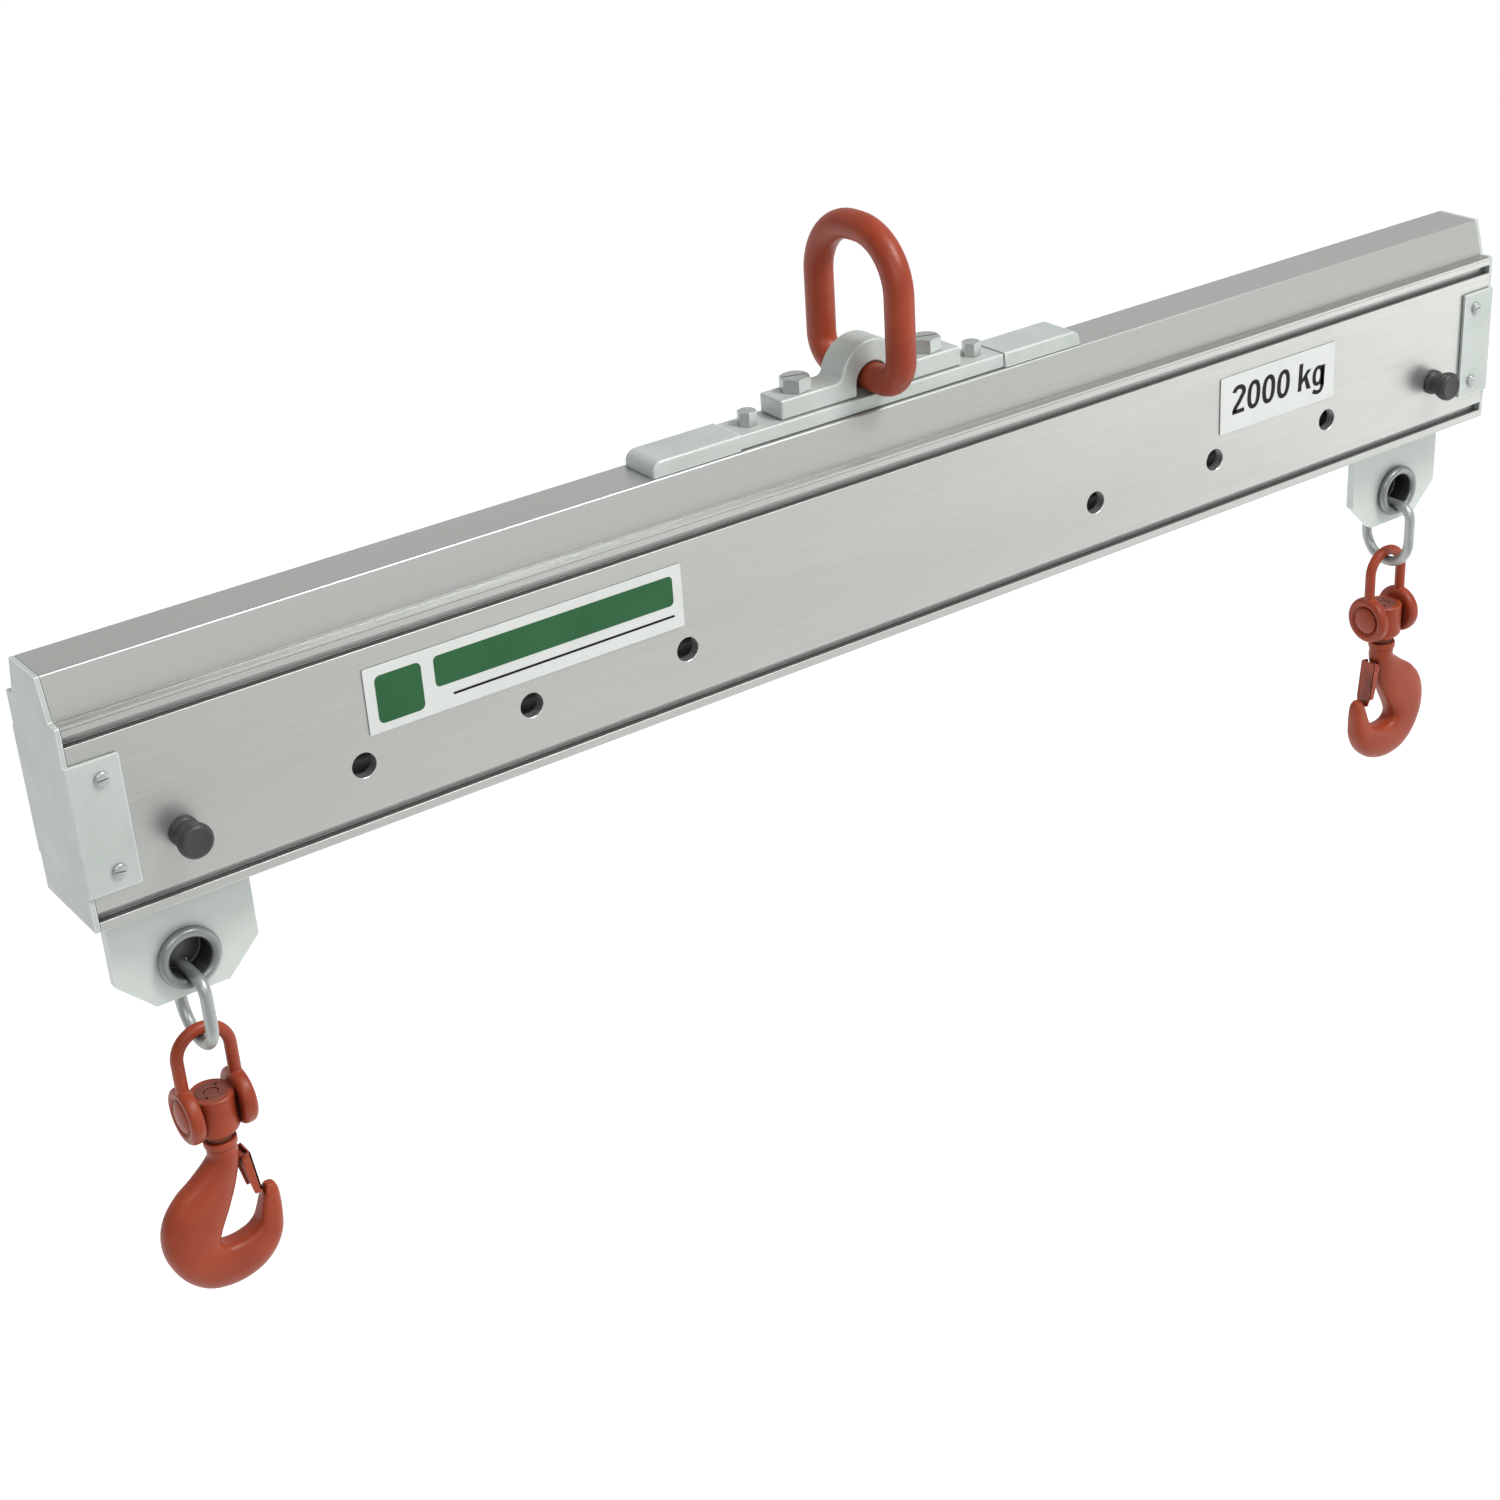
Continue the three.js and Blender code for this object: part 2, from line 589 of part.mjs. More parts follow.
// A stub pin with a domed head, screwed into the side of the swivel body.
function trunnionPin(x, side) {
  const seat = EAR_OUTER - DISH_DEPTH + GAP;
  const profile = [[0, 9], [5.2, 9], [5.2, seat], [14, seat], [14, seat + 1.4], [9, seat + 3.8],
    [0, seat + 4.6]].map(([r, along]) => [r, side * along]);
  return turned(profile, 'x', [x, 0, TRUNNION_HEIGHT], 12);
}

function swivelBody(x) {
  const bore = SHANK_DIAMETER / 2 + GAP;
  const seat = BODY_TOP - 4.8;
  const profile = [
    [bore, BODY_BOTTOM], [11.5, BODY_BOTTOM], [BODY_RADIUS, BODY_BOTTOM + 6],
    [BODY_RADIUS, BODY_TOP], [13.3, BODY_TOP],
    [13.3, seat], [bore, seat], [bore, BODY_BOTTOM],
  ];
  const tools = sides.flatMap(([, side]) => {
    const flat = box(BODY_FLAT, 30, -30, 30, BODY_BOTTOM - 5, BODY_TOP + 5);
    const drill = rod('x', 8.7, 30, 5.6, [0, 0, TRUNNION_HEIGHT], 10);
    return side < 0 ? [flat.rotateZ(Math.PI), drill.rotateZ(Math.PI)] : [flat, drill];
  });
  return cut(turned(profile, 'z', [0, 0, 0], 18), ...tools).translate(x, 0, 0);
}

function swivelNut(x) {
  const seat = BODY_TOP - 4.8 + GAP;
  const bore = SHANK_DIAMETER / 2 - 1 + GAP;
  const profile = [[bore, seat], [13, seat], [13, BODY_TOP + 0.2], [bore, BODY_TOP + 0.2],
    [bore, seat]];
  const spanner = [45, 225].map((degrees) => {
    const angle = THREE.MathUtils.degToRad(degrees);
    return rod('z', seat + 1.5, BODY_TOP + 2, 1.3,
      [9.6 * Math.cos(angle), 9.6 * Math.sin(angle), 0], 6);
  });
  return cut(turned(profile, 'z', [0, 0, 0], 14), ...spanner).translate(x, 0, 0);
}

function thrustWasher(x) {
  const bore = SHANK_DIAMETER / 2 + GAP;
  const low = COLLAR_TOP + GAP;
  const high = BODY_BOTTOM - GAP;
  return turned([[bore, low], [10.6, low], [10.6, high], [bore, high], [bore, low]], 'z',
    [x, 0, 0], 14);
}

// throat is +1 when the hook opens towards +X, -1 when it opens towards -X
function hook(x, throat) {
  const rings = HOOK_SECTIONS.map(([outer, inner, thickness], i) => {
    const from = new THREE.Vector3(outer[0], 0, outer[1]);
    const to = new THREE.Vector3(inner[0], 0, inner[1]);
    const middle = from.clone().lerp(to, 0.5);
    const inward = to.clone().sub(from).multiplyScalar(0.5);
    return Array.from({ length: 10 }, (_, k) => {
      const angle = (2 * Math.PI * k) / 10;
      const power = i >= FIRST_FULL_SECTION && Math.cos(angle) > 0 ? SQUARENESS : 1;
      const along = Math.sign(Math.cos(angle)) * Math.abs(Math.cos(angle)) ** power;
      const side = Math.sign(Math.sin(angle)) * Math.abs(Math.sin(angle)) ** power;
      return middle.clone().addScaledVector(inward, along)
        .add(new THREE.Vector3(0, thickness * side, 0));
    });
  });
  const stemTop = BODY_TOP - 0.6;
  const stem = turned([
    [0, COLLAR_BOTTOM - 3], [NECK_RADIUS - 1, COLLAR_BOTTOM - 3], [NECK_RADIUS, COLLAR_BOTTOM],
    [COLLAR_RADIUS, COLLAR_BOTTOM], [COLLAR_RADIUS, COLLAR_TOP],
    [SHANK_DIAMETER / 2, COLLAR_TOP], [SHANK_DIAMETER / 2, BODY_TOP - 4.8],
    [SHANK_DIAMETER / 2 - 1, BODY_TOP - 4.8], [SHANK_DIAMETER / 2 - 1, stemTop], [0, stemTop],
  ], 'z', [0, 0, 0], 14);
  const [pivotX, pivotZ] = LATCH_PIVOT;
  const boss = rod('y', -LATCH_BOSS, LATCH_BOSS, LATCH_BOSS, [pivotX, 0, pivotZ], 10);
  const eye = rod('y', -20, 20, LATCH_PIN_RADIUS + GAP, [pivotX, 0, pivotZ], 8);
  const body = cut(join(loft(rings, false), stem, boss), eye);
  return body.scale(throat, 1, 1).translate(x, 0, 0);
}

// The latch is a folded sheet: an outer plate that closes on the tip, and two side flanges.
function latch(x, throat) {
  const [topX, topZ] = LATCH_TOP;
  const [tipX, tipZ] = LATCH_TIP;
  const plate = new THREE.Shape(vec2([
    LATCH_TOP, [topX - LATCH_SHEET, topZ], [tipX - LATCH_SHEET, tipZ], LATCH_TIP,
  ]));
  const flange = new THREE.Shape(vec2([
    LATCH_TOP, [11, -263.5], [10.4, -273], [18, -294], [tipX - LATCH_SHEET, tipZ + 7],
    [(topX + tipX) / 2 - 0.3, (topZ + tipZ) / 2],
  ]));
  const inner = LATCH_HALF_WIDTH - LATCH_SHEET;
  const body = join(extrudeAlongY(plate, -LATCH_HALF_WIDTH, LATCH_HALF_WIDTH),
    extrudeAlongY(flange, inner, LATCH_HALF_WIDTH),
    extrudeAlongY(flange, -LATCH_HALF_WIDTH, -inner));
  const [pivotX, pivotZ] = LATCH_PIVOT;
  const eye = rod('y', -20, 20, LATCH_PIN_RADIUS + GAP, [pivotX, 0, pivotZ], 8);
  return cut(body, eye).scale(throat, 1, 1).translate(x, 0, 0);
}

function latchPin(x, throat) {
  const [pivotX, pivotZ] = LATCH_PIVOT;
  const end = LATCH_HALF_WIDTH + 1;
  return rod('y', -end, end, LATCH_PIN_RADIUS, [x + throat * pivotX, 0, pivotZ], 8);
}

// A coil around the latch pin, between the hook's eye and the front flange
function latchSpring(x, throat) {
  const [pivotX, pivotZ] = LATCH_PIVOT;
  const front = -(LATCH_HALF_WIDTH - LATCH_SHEET - GAP);
  const back = -(LATCH_BOSS + GAP);
  const inner = LATCH_PIN_RADIUS + 0.5;
  const profile = [[inner, front], [4, front], [4, back], [inner, back], [inner, front]];
  return turned(profile, 'y', [x + throat * pivotX, 0, pivotZ], 10);
}

for (const [name, side] of sides) {
  const x = side * LUG_X;
  add(`${name}_lug`, 'zinc', lug(x));
  add(`${name}_lug_bush`, 'bush', lugBush(x));
  add(`${name}_pin_shank`, 'pin', pinShank(x));
  add(`${name}_pin_ball`, 'pin', pinBall(x));
  add(`${name}_pin_knob`, 'black', pinKnob(x));
  add(`${name}_ring`, 'ring', wireOval(x, RING_HALF_WIDTH, ringTop, ringBottom,
    RING_TOP_RADIUS, RING_HALF_WIDTH - 0.2, RING_WIRE, 5, 10));
  add(`${name}_bow`, 'orange', bow(x));
  add(`${name}_inner_trunnion_pin`, 'orange', trunnionPin(x, -side));
  add(`${name}_outer_trunnion_pin`, 'orange', trunnionPin(x, side));
  add(`${name}_swivel_body`, 'orange', swivelBody(x));
  add(`${name}_swivel_nut`, 'orange', swivelNut(x));
  add(`${name}_thrust_washer`, 'orange', thrustWasher(x));
  add(`${name}_hook`, 'orange', hook(x, -side));
  add(`${name}_latch`, 'orange', latch(x, -side));
  add(`${name}_latch_pin`, 'bolt', latchPin(x, -side));
  add(`${name}_latch_spring`, 'spring', latchSpring(x, -side));
}

export default beam;
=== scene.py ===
"""A spreader beam: brushed rail, master link on its yoke, and two swivel hooks on pinned lugs.

Shapes are drawn in millimetres from the middle of the rail's underside, then set in the frame.
"""
import json
import math
import bmesh
import bpy
from mathutils import Matrix, Vector


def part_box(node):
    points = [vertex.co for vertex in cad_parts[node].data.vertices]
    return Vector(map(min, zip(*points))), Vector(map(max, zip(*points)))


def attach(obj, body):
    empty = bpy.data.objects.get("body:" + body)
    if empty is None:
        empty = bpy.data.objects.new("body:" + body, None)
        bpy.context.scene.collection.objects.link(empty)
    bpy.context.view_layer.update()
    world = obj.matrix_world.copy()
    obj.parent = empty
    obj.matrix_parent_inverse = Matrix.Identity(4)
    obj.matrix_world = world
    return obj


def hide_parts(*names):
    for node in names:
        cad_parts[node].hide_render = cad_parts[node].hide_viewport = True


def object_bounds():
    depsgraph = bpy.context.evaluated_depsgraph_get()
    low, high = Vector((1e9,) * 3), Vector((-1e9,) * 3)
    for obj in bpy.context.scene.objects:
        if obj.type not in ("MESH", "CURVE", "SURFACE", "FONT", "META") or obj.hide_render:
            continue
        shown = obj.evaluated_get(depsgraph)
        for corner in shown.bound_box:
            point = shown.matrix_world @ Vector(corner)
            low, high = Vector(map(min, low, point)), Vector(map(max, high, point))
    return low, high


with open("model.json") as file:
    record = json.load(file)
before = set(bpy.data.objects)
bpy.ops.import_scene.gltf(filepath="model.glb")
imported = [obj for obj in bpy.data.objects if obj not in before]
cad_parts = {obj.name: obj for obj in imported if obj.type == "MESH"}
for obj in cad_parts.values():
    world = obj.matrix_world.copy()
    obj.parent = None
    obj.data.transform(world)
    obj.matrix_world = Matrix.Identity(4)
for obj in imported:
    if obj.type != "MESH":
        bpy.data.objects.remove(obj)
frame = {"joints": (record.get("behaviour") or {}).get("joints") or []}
cad_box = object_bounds()

MM = 0.001
FULL_TURN = 2 * math.pi
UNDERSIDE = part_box("beam_rail")[0].z
WEB_TOP = 167.0
SIDES = (("left", -1), ("right", 1))
JOINTS = {joint["name"]: joint for joint in frame["joints"]}


def corners(node):
    """A node's lowest and highest corners, in millimetres from the rail's underside."""
    drop = Vector((0, 0, UNDERSIDE))
    return [(corner - drop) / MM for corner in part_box(node)]


def pivot(joint):
    """A joint's place, in millimetres from the rail's underside."""
    x, y, z = JOINTS[joint]["pos_m"]
    return Vector((x, y, z - UNDERSIDE)) / MM


# ---------------------------------------------------------------- camera

CAMERA_PLACE = Vector((-1.2722, -1.6625, 0.6174))
CAMERA_AZIMUTH = math.radians(-34.261)
CAMERA_ELEVATION = math.radians(27.371)
CAMERA_ROLL = math.radians(-3.865)
CAMERA_LENS = 62.38


def make_camera():
    azimuth, elevation = CAMERA_AZIMUTH, CAMERA_ELEVATION
    back = Vector((math.sin(azimuth) * math.cos(elevation),
                   -math.cos(azimuth) * math.cos(elevation), math.sin(elevation)))
    level = Vector((math.cos(azimuth), math.sin(azimuth), 0))
    upright = back.cross(level)
    right = math.cos(CAMERA_ROLL) * level + math.sin(CAMERA_ROLL) * upright
    up = -math.sin(CAMERA_ROLL) * level + math.cos(CAMERA_ROLL) * upright
    data = bpy.data.cameras.new("camera")
    data.lens = CAMERA_LENS
    data.sensor_width = 36
    data.clip_end = 50
    camera = bpy.data.objects.new("camera", data)
    turn = Matrix((right, up, back)).transposed().to_4x4()
    camera.matrix_world = Matrix.Translation(CAMERA_PLACE) @ turn
    bpy.context.scene.collection.objects.link(camera)
    bpy.context.scene.camera = camera


make_camera()


# ---------------------------------------------------------------- node helpers

def add_node(tree, kind, **values):
    """A node with its options and its unlinked inputs set by name."""
    node = tree.nodes.new(kind)
    for key, value in values.items():
        if hasattr(node, key):
            setattr(node, key, value)
        else:
            node.inputs[key.replace("_", " ")].default_value = value
    return node


def link(tree, source, target):
    tree.links.new(source, target)


def new_group(name, inputs, outputs):
    """A shader node group. Inputs are name: start value, outputs are name: socket type."""
    group = bpy.data.node_groups.new(name, "ShaderNodeTree")
    for label, value in inputs.items():
        kind = "NodeSocketColor" if isinstance(value, tuple) else "NodeSocketFloat"
        socket = group.interface.new_socket(label, in_out="INPUT", socket_type=kind)
        socket.default_value = value
    for label, kind in outputs.items():
        group.interface.new_socket(label, in_out="OUTPUT", socket_type=kind)
    entry = group.nodes.new("NodeGroupInput")
    leave = group.nodes.new("NodeGroupOutput")
    return group, entry.outputs, leave.inputs


def math_node(tree, operation, first, second=None, third=None):
    """A math node on sockets or numbers; gives its result socket."""
    node = add_node(tree, "ShaderNodeMath", operation=operation)
    for slot, value in enumerate((first, second, third)):
        if value is None:
            continue
        if isinstance(value, (int, float)):
            node.inputs[slot].default_value = value
        else:
            link(tree, value, node.inputs[slot])
    return node.outputs[0]


def noise(tree, vector, scale, detail=2.0, roughness=0.5):
    node = add_node(tree, "ShaderNodeTexNoise", Detail=detail, Roughness=roughness)
    if isinstance(scale, (int, float)):
        node.inputs["Scale"].default_value = scale
    else:
        link(tree, scale, node.inputs["Scale"])
    link(tree, vector, node.inputs["Vector"])
    return node.outputs["Factor"] if "Factor" in node.outputs else node.outputs["Fac"]


def mapped(tree, scale):
    """Object coordinates, stretched."""
    coordinates = add_node(tree, "ShaderNodeTexCoord")
    mapping = add_node(tree, "ShaderNodeMapping")
    mapping.inputs["Scale"].default_value = scale
    link(tree, coordinates.outputs["Object"], mapping.inputs["Vector"])
    return mapping.outputs["Vector"]


def remap(tree, value, from_low, from_high, to_low, to_high):
    node = add_node(tree, "ShaderNodeMapRange", From_Min=from_low, From_Max=from_high,
                    To_Min=to_low, To_Max=to_high)
    link(tree, value, node.inputs["Value"])
    return node.outputs["Result"]


# ---------------------------------------------------------------- shared effects

def brushing_group():
    """Fine scratches along the beam, with broad bands of tone from the rollers."""
    group, entry, leave = new_group(
        "lengthwise brushing", {"Depth": 0.1},
        {"Tone": "NodeSocketFloat", "Normal": "NodeSocketVector"})
    fine = noise(group, mapped(group, (26, 1100, 1100)), 1.0, 3.0, 0.6)
    long = noise(group, mapped(group, (6, 420, 420)), 1.0, 4.0, 0.65)
    broad = noise(group, mapped(group, (1.5, 9, 9)), 1.0, 2.0)
    streaks = math_node(group, "MULTIPLY_ADD", fine, 0.45, math_node(group, "MULTIPLY", long, 0.55))
    bands = math_node(group, "MULTIPLY", broad, 0.35)
    tone = math_node(group, "MULTIPLY_ADD", streaks, 0.65, bands)
    link(group, tone, leave["Tone"])
    bump = add_node(group, "ShaderNodeBump", Distance=0.00012)
    link(group, entry["Depth"], bump.inputs["Strength"])
    link(group, streaks, bump.inputs["Height"])
    link(group, bump.outputs["Normal"], leave["Normal"])
    return group


def edge_rub_and_highlight_group():
    """Where convex edges are rubbed bright and carry painted highlights: 0 on flats, up to 1 on
    edges, broken by noise.
    """
    group, entry, leave = new_group(
        "rubbed edges and painted highlights", {"Width": 0.001, "Patchiness": 0.5}, {"Mask": "NodeSocketFloat"})
    bevel = add_node(group, "ShaderNodeBevel", samples=4)
    link(group, entry["Width"], bevel.inputs["Radius"])
    flat = add_node(group, "ShaderNodeNewGeometry")
    dot = add_node(group, "ShaderNodeVectorMath", operation="DOT_PRODUCT")
    link(group, bevel.outputs["Normal"], dot.inputs[0])
    link(group, flat.outputs["Normal"], dot.inputs[1])
    edge = remap(group, dot.outputs["Value"], 0.995, 0.9, 0.0, 1.0)
    patches = noise(group, mapped(group, (1, 1, 1)), 170.0, 4.0, 0.65)
    patchy = remap(group, patches, 0.42, 0.62, 0.0, 1.0)
    kept = math_node(group, "SUBTRACT", 1.0, entry["Patchiness"])
    share = math_node(group, "MULTIPLY_ADD", patchy, entry["Patchiness"], kept)
    link(group, math_node(group, "MULTIPLY", edge, share), leave["Mask"])
    return group


def skin_group():
    """The fine dimpled skin of paint, zinc or moulding, and slow changes of tone."""
    group, entry, leave = new_group(
        "fine skin", {"Grain": 900.0, "Depth": 0.1},
        {"Tone": "NodeSocketFloat", "Speck": "NodeSocketFloat", "Normal": "NodeSocketVector"})
    plain = mapped(group, (1, 1, 1))
    grain = noise(group, plain, entry["Grain"], 2.0, 0.55)
    slow = noise(group, plain, 26.0, 3.0, 0.55)
    link(group, slow, leave["Tone"])
    link(group, remap(group, grain, 0.35, 0.65, 0.0, 1.0), leave["Speck"])
    bump = add_node(group, "ShaderNodeBump", Distance=0.0002)
    link(group, entry["Depth"], bump.inputs["Strength"])
    link(group, math_node(group, "MULTIPLY_ADD", slow, 0.8, grain), bump.inputs["Height"])
    link(group, bump.outputs["Normal"], leave["Normal"])
    return group


def hollow_group():
    """Dust and painted shade in corners: 0 in the open, 1 deep in a corner."""
    group, entry, leave = new_group(
        "dust and painted shade in corners", {"Reach": 0.008}, {"Mask": "NodeSocketFloat"})
    shade = add_node(group, "ShaderNodeAmbientOcclusion", samples=4)
    link(group, entry["Reach"], shade.inputs["Distance"])
    link(group, remap(group, shade.outputs["AO"], 0.55, 0.22, 0.0, 1.0), leave["Mask"])
    return group


BRUSHING = brushing_group()
EDGE_RUB_AND_HIGHLIGHT = edge_rub_and_highlight_group()
SKIN = skin_group()
HOLLOW = hollow_group()


def use_group(tree, group, **values):
    node = tree.nodes.new("ShaderNodeGroup")
    node.node_tree = group
    for label, value in values.items():
        node.inputs[label].default_value = value
    return node


def mix_colours(tree, factor, first, second):
    """Blend two colours by a mask; a colour is a tuple or a socket."""
    node = add_node(tree, "ShaderNodeMix", data_type="RGBA")
    link(tree, factor, node.inputs["Factor"])
    for socket, colour in ((node.inputs[6], first), (node.inputs[7], second)):
        if isinstance(colour, tuple):
            socket.default_value = (*colour, 1)
        else:
            link(tree, colour, socket)
    return node.outputs[2]


def new_material(name, **constants):
    """A material with only its Principled BSDF, whose constant values sit on its own sockets."""
    material = bpy.data.materials.new(name)
    material.use_nodes = True
    shader = material.node_tree.nodes["Principled BSDF"]
    for label, value in constants.items():
        shader.inputs[label.replace("_", " ")].default_value = value
    return material, material.node_tree, shader


# ---------------------------------------------------------------- materials

def shoulder_shade(tree):
    """Darkens the shoulders, which mirror the key light off the head's side; less on the right.

    This tunes the tone for these lights, and is not a finish of the rail.
    """
    coordinates = add_node(tree, "ShaderNodeTexCoord")
    axes = add_node(tree, "ShaderNodeSeparateXYZ")
    link(tree, coordinates.outputs["Object"], axes.inputs[0])
    level = math_node(tree, "COMPARE", axes.outputs["Z"], UNDERSIDE + WEB_TOP * MM, 0.0005)
    return math_node(tree, "MULTIPLY", level, remap(tree, axes.outputs["X"], -0.3, 0.7, 1.0, 0.45))


def brushed_aluminium():
    material, tree, shader = new_material("brushed aluminium", Metallic=0.85)
    brush = use_group(tree, BRUSHING, Depth=0.16)
    rub_and_highlight = use_group(tree, EDGE_RUB_AND_HIGHLIGHT, Width=0.0007, Patchiness=0.1)
    hollow = use_group(tree, HOLLOW, Reach=0.016)
    base = mix_colours(tree, remap(tree, brush.outputs["Tone"], 0.36, 0.64, 0, 1),
                       (0.515, 0.525, 0.505), (0.575, 0.585, 0.565))
    base = mix_colours(tree, shoulder_shade(tree), base, (0.22, 0.225, 0.215))
    # Dust and painted shade darken the corners and the side grooves.
    base = mix_colours(tree, hollow.outputs["Mask"], base, (0.09, 0.095, 0.09))
    # Edges rubbed bright, with a painted highlight along them.
    link(tree, mix_colours(tree, rub_and_highlight.outputs["Mask"], base, (0.8, 0.81, 0.79)),
         shader.inputs["Base Color"])
    satin = remap(tree, brush.outputs["Tone"], 0.35, 0.65, 0.44, 0.34)
    polish = math_node(tree, "MULTIPLY_ADD", rub_and_highlight.outputs["Mask"], -0.06, satin)
    link(tree, polish, shader.inputs["Roughness"])
    link(tree, brush.outputs["Normal"], shader.inputs["Normal"])
    return material


def skinned(name, dark, light, roughness, grain, depth, rub_and_highlight_colour, rub_and_highlight_width=0.001,
            patchiness=0.5, dust_and_shade=None, reach=0.009, **constants):
    """A finish: dimpled skin, slow tone changes, edges rubbed bright with painted highlights. Dust
    and painted shade in corners.
    """
    material, tree, shader = new_material(name, **constants)
    skin = use_group(tree, SKIN, Grain=grain, Depth=depth)
    rub_and_highlight = use_group(tree, EDGE_RUB_AND_HIGHLIGHT, Width=rub_and_highlight_width, Patchiness=patchiness)
    base = mix_colours(tree, remap(tree, skin.outputs["Tone"], 0.3, 0.7, 0, 1), dark, light)
    # Dust and painted shade darken the corners.
    if dust_and_shade:
        hollow = use_group(tree, HOLLOW, Reach=reach)
        base = mix_colours(tree, hollow.outputs["Mask"], base, dust_and_shade)
    # Edges rubbed bright, with a painted highlight along them.
    colour = mix_colours(tree, rub_and_highlight.outputs["Mask"], base, rub_and_highlight_colour)
    link(tree, colour, shader.inputs["Base Color"])
    low, high = roughness
    link(tree, remap(tree, skin.outputs["Speck"], 0, 1, low, high), shader.inputs["Roughness"])
    link(tree, skin.outputs["Normal"], shader.inputs["Normal"])
    return material


ALUMINIUM = brushed_aluminium()
# In these finishes the corner colour paints shade into grooves, bores and creases. Dust is part of
# it.
ZINC = skinned("zinc grey", (0.49, 0.535, 0.505), (0.56, 0.605, 0.575), (0.40, 0.50), 1400, 0.08,
               (0.9, 0.94, 0.91), rub_and_highlight_width=0.0018, patchiness=0.2, dust_and_shade=(0.36, 0.39, 0.37),
               Metallic=0.25)
# A lighter copy of the zinc grey for the lugs: painted light that makes up for the shade under the
# rail's overhang.
LIGHTENED_ZINC = skinned("zinc grey, painted lighter", (0.60, 0.65, 0.615), (0.66, 0.71, 0.675), (0.42, 0.52), 1400,
                    0.08, (0.9, 0.94, 0.91), rub_and_highlight_width=0.0016, patchiness=0.2, Metallic=0.2)
BOLT = skinned("bright zinc bolt", (0.44, 0.475, 0.455), (0.54, 0.575, 0.555), (0.3, 0.4), 1800,
               0.06, (0.85, 0.88, 0.86), rub_and_highlight_width=0.0006, patchiness=0.3, dust_and_shade=(0.3, 0.33, 0.31),
               Metallic=0.7)
RING = skinned("galvanised ring", (0.36, 0.39, 0.375), (0.45, 0.48, 0.465), (0.34, 0.46), 1200,
               0.12, (0.6, 0.62, 0.6), dust_and_shade=(0.16, 0.17, 0.16), Metallic=0.6)
# Its corner colour reaches far and paints the shade deep inside the bore.
BUSH = skinned("rolled bush", (0.27, 0.29, 0.28), (0.35, 0.37, 0.36), (0.32, 0.42), 1400, 0.08,
               (0.55, 0.57, 0.56), dust_and_shade=(0.028, 0.03, 0.028), reach=0.04, Metallic=0.75)
ORANGE = skinned("orange paint", (0.275, 0.034, 0.009), (0.35, 0.05, 0.014), (0.38, 0.46), 700,
                 0.14, (0.42, 0.11, 0.065), rub_and_highlight_width=0.0009, patchiness=0.6,
                 dust_and_shade=(0.1, 0.016, 0.009), reach=0.014, Specular_IOR_Level=0.42)
UMBER = skinned("orange paint, worn dark", (0.15, 0.042, 0.028), (0.21, 0.06, 0.04), (0.45, 0.6),
                900, 0.3, (0.32, 0.1, 0.06), dust_and_shade=(0.05, 0.016, 0.011),
                Specular_IOR_Level=0.3)
BLACK = skinned("black moulding", (0.028, 0.03, 0.028), (0.042, 0.044, 0.041), (0.42, 0.52), 1600,
                0.15, (0.09, 0.09, 0.085), rub_and_highlight_width=0.0008, patchiness=0.6)
PIN = skinned("ground pin", (0.5, 0.51, 0.51), (0.6, 0.61, 0.61), (0.2, 0.3), 2200, 0.05,
              (0.8, 0.8, 0.8), Metallic=0.95)
SPRING = skinned("spring wire", (0.14, 0.15, 0.15), (0.2, 0.21, 0.21), (0.28, 0.38), 2600, 0.06,
                 (0.4, 0.4, 0.4), rub_and_highlight_width=0.0003, Metallic=0.9)
LABEL = skinned("white film", (0.64, 0.66, 0.64), (0.68, 0.70, 0.68), (0.3, 0.36), 2600, 0.03,
                (0.85, 0.87, 0.85), rub_and_highlight_width=0.0004)
GREEN = skinned("green print", (0.016, 0.098, 0.032), (0.02, 0.115, 0.038), (0.4, 0.48), 2600, 0.03,
                (0.04, 0.15, 0.06), rub_and_highlight_width=0.0002, Specular_IOR_Level=0.3)
INK = skinned("black print", (0.008, 0.008, 0.009), (0.012, 0.012, 0.013), (0.4, 0.48), 2600, 0.03,
              (0.02, 0.02, 0.02), rub_and_highlight_width=0.0002, Specular_IOR_Level=0.15)


# ---------------------------------------------------------------- mesh helpers (millimetres)

def solid(bm):
    """A working object from a bmesh, with its faces turned outwards."""
    bmesh.ops.recalc_face_normals(bm, faces=bm.faces)
    mesh = bpy.data.meshes.new("work")
    bm.to_mesh(mesh)
    bm.free()
    work = bpy.data.objects.new("work", mesh)
    bpy.context.scene.collection.objects.link(work)
    return work


def settle(work):
    """Turn the result of the modifiers into the object's own mesh."""
    graph = bpy.context.evaluated_depsgraph_get()
    mesh = bpy.data.meshes.new_from_object(work.evaluated_get(graph))
    old = work.data
    work.modifiers.clear()
    work.data = mesh
    bpy.data.meshes.remove(old)
    return work


def discard(work):
    mesh = work.data
    bpy.data.objects.remove(work)
    bpy.data.meshes.remove(mesh)


def combine(work, tool, operation):
    boolean = work.modifiers.new("combine", "BOOLEAN")
    boolean.operation = operation
    boolean.solver = "EXACT"
    boolean.object = tool
    settle(work)
    discard(tool)
    return work


def cut(work, *tools):
    for tool in tools:
        combine(work, tool, "DIFFERENCE")
    return work


def join(work, *others):
    for other in others:
        combine(work, other, "UNION")
    return work


def soften(work, width, segments=3, angle=40):
    """Round every edge sharper than an angle, in degrees."""
    bevel = work.modifiers.new("soften", "BEVEL")
    bevel.width = width
    bevel.segments = segments
    bevel.limit_method = "ANGLE"
    bevel.angle_limit = math.radians(angle)
    bevel.use_clamp_overlap = True
    return settle(work)


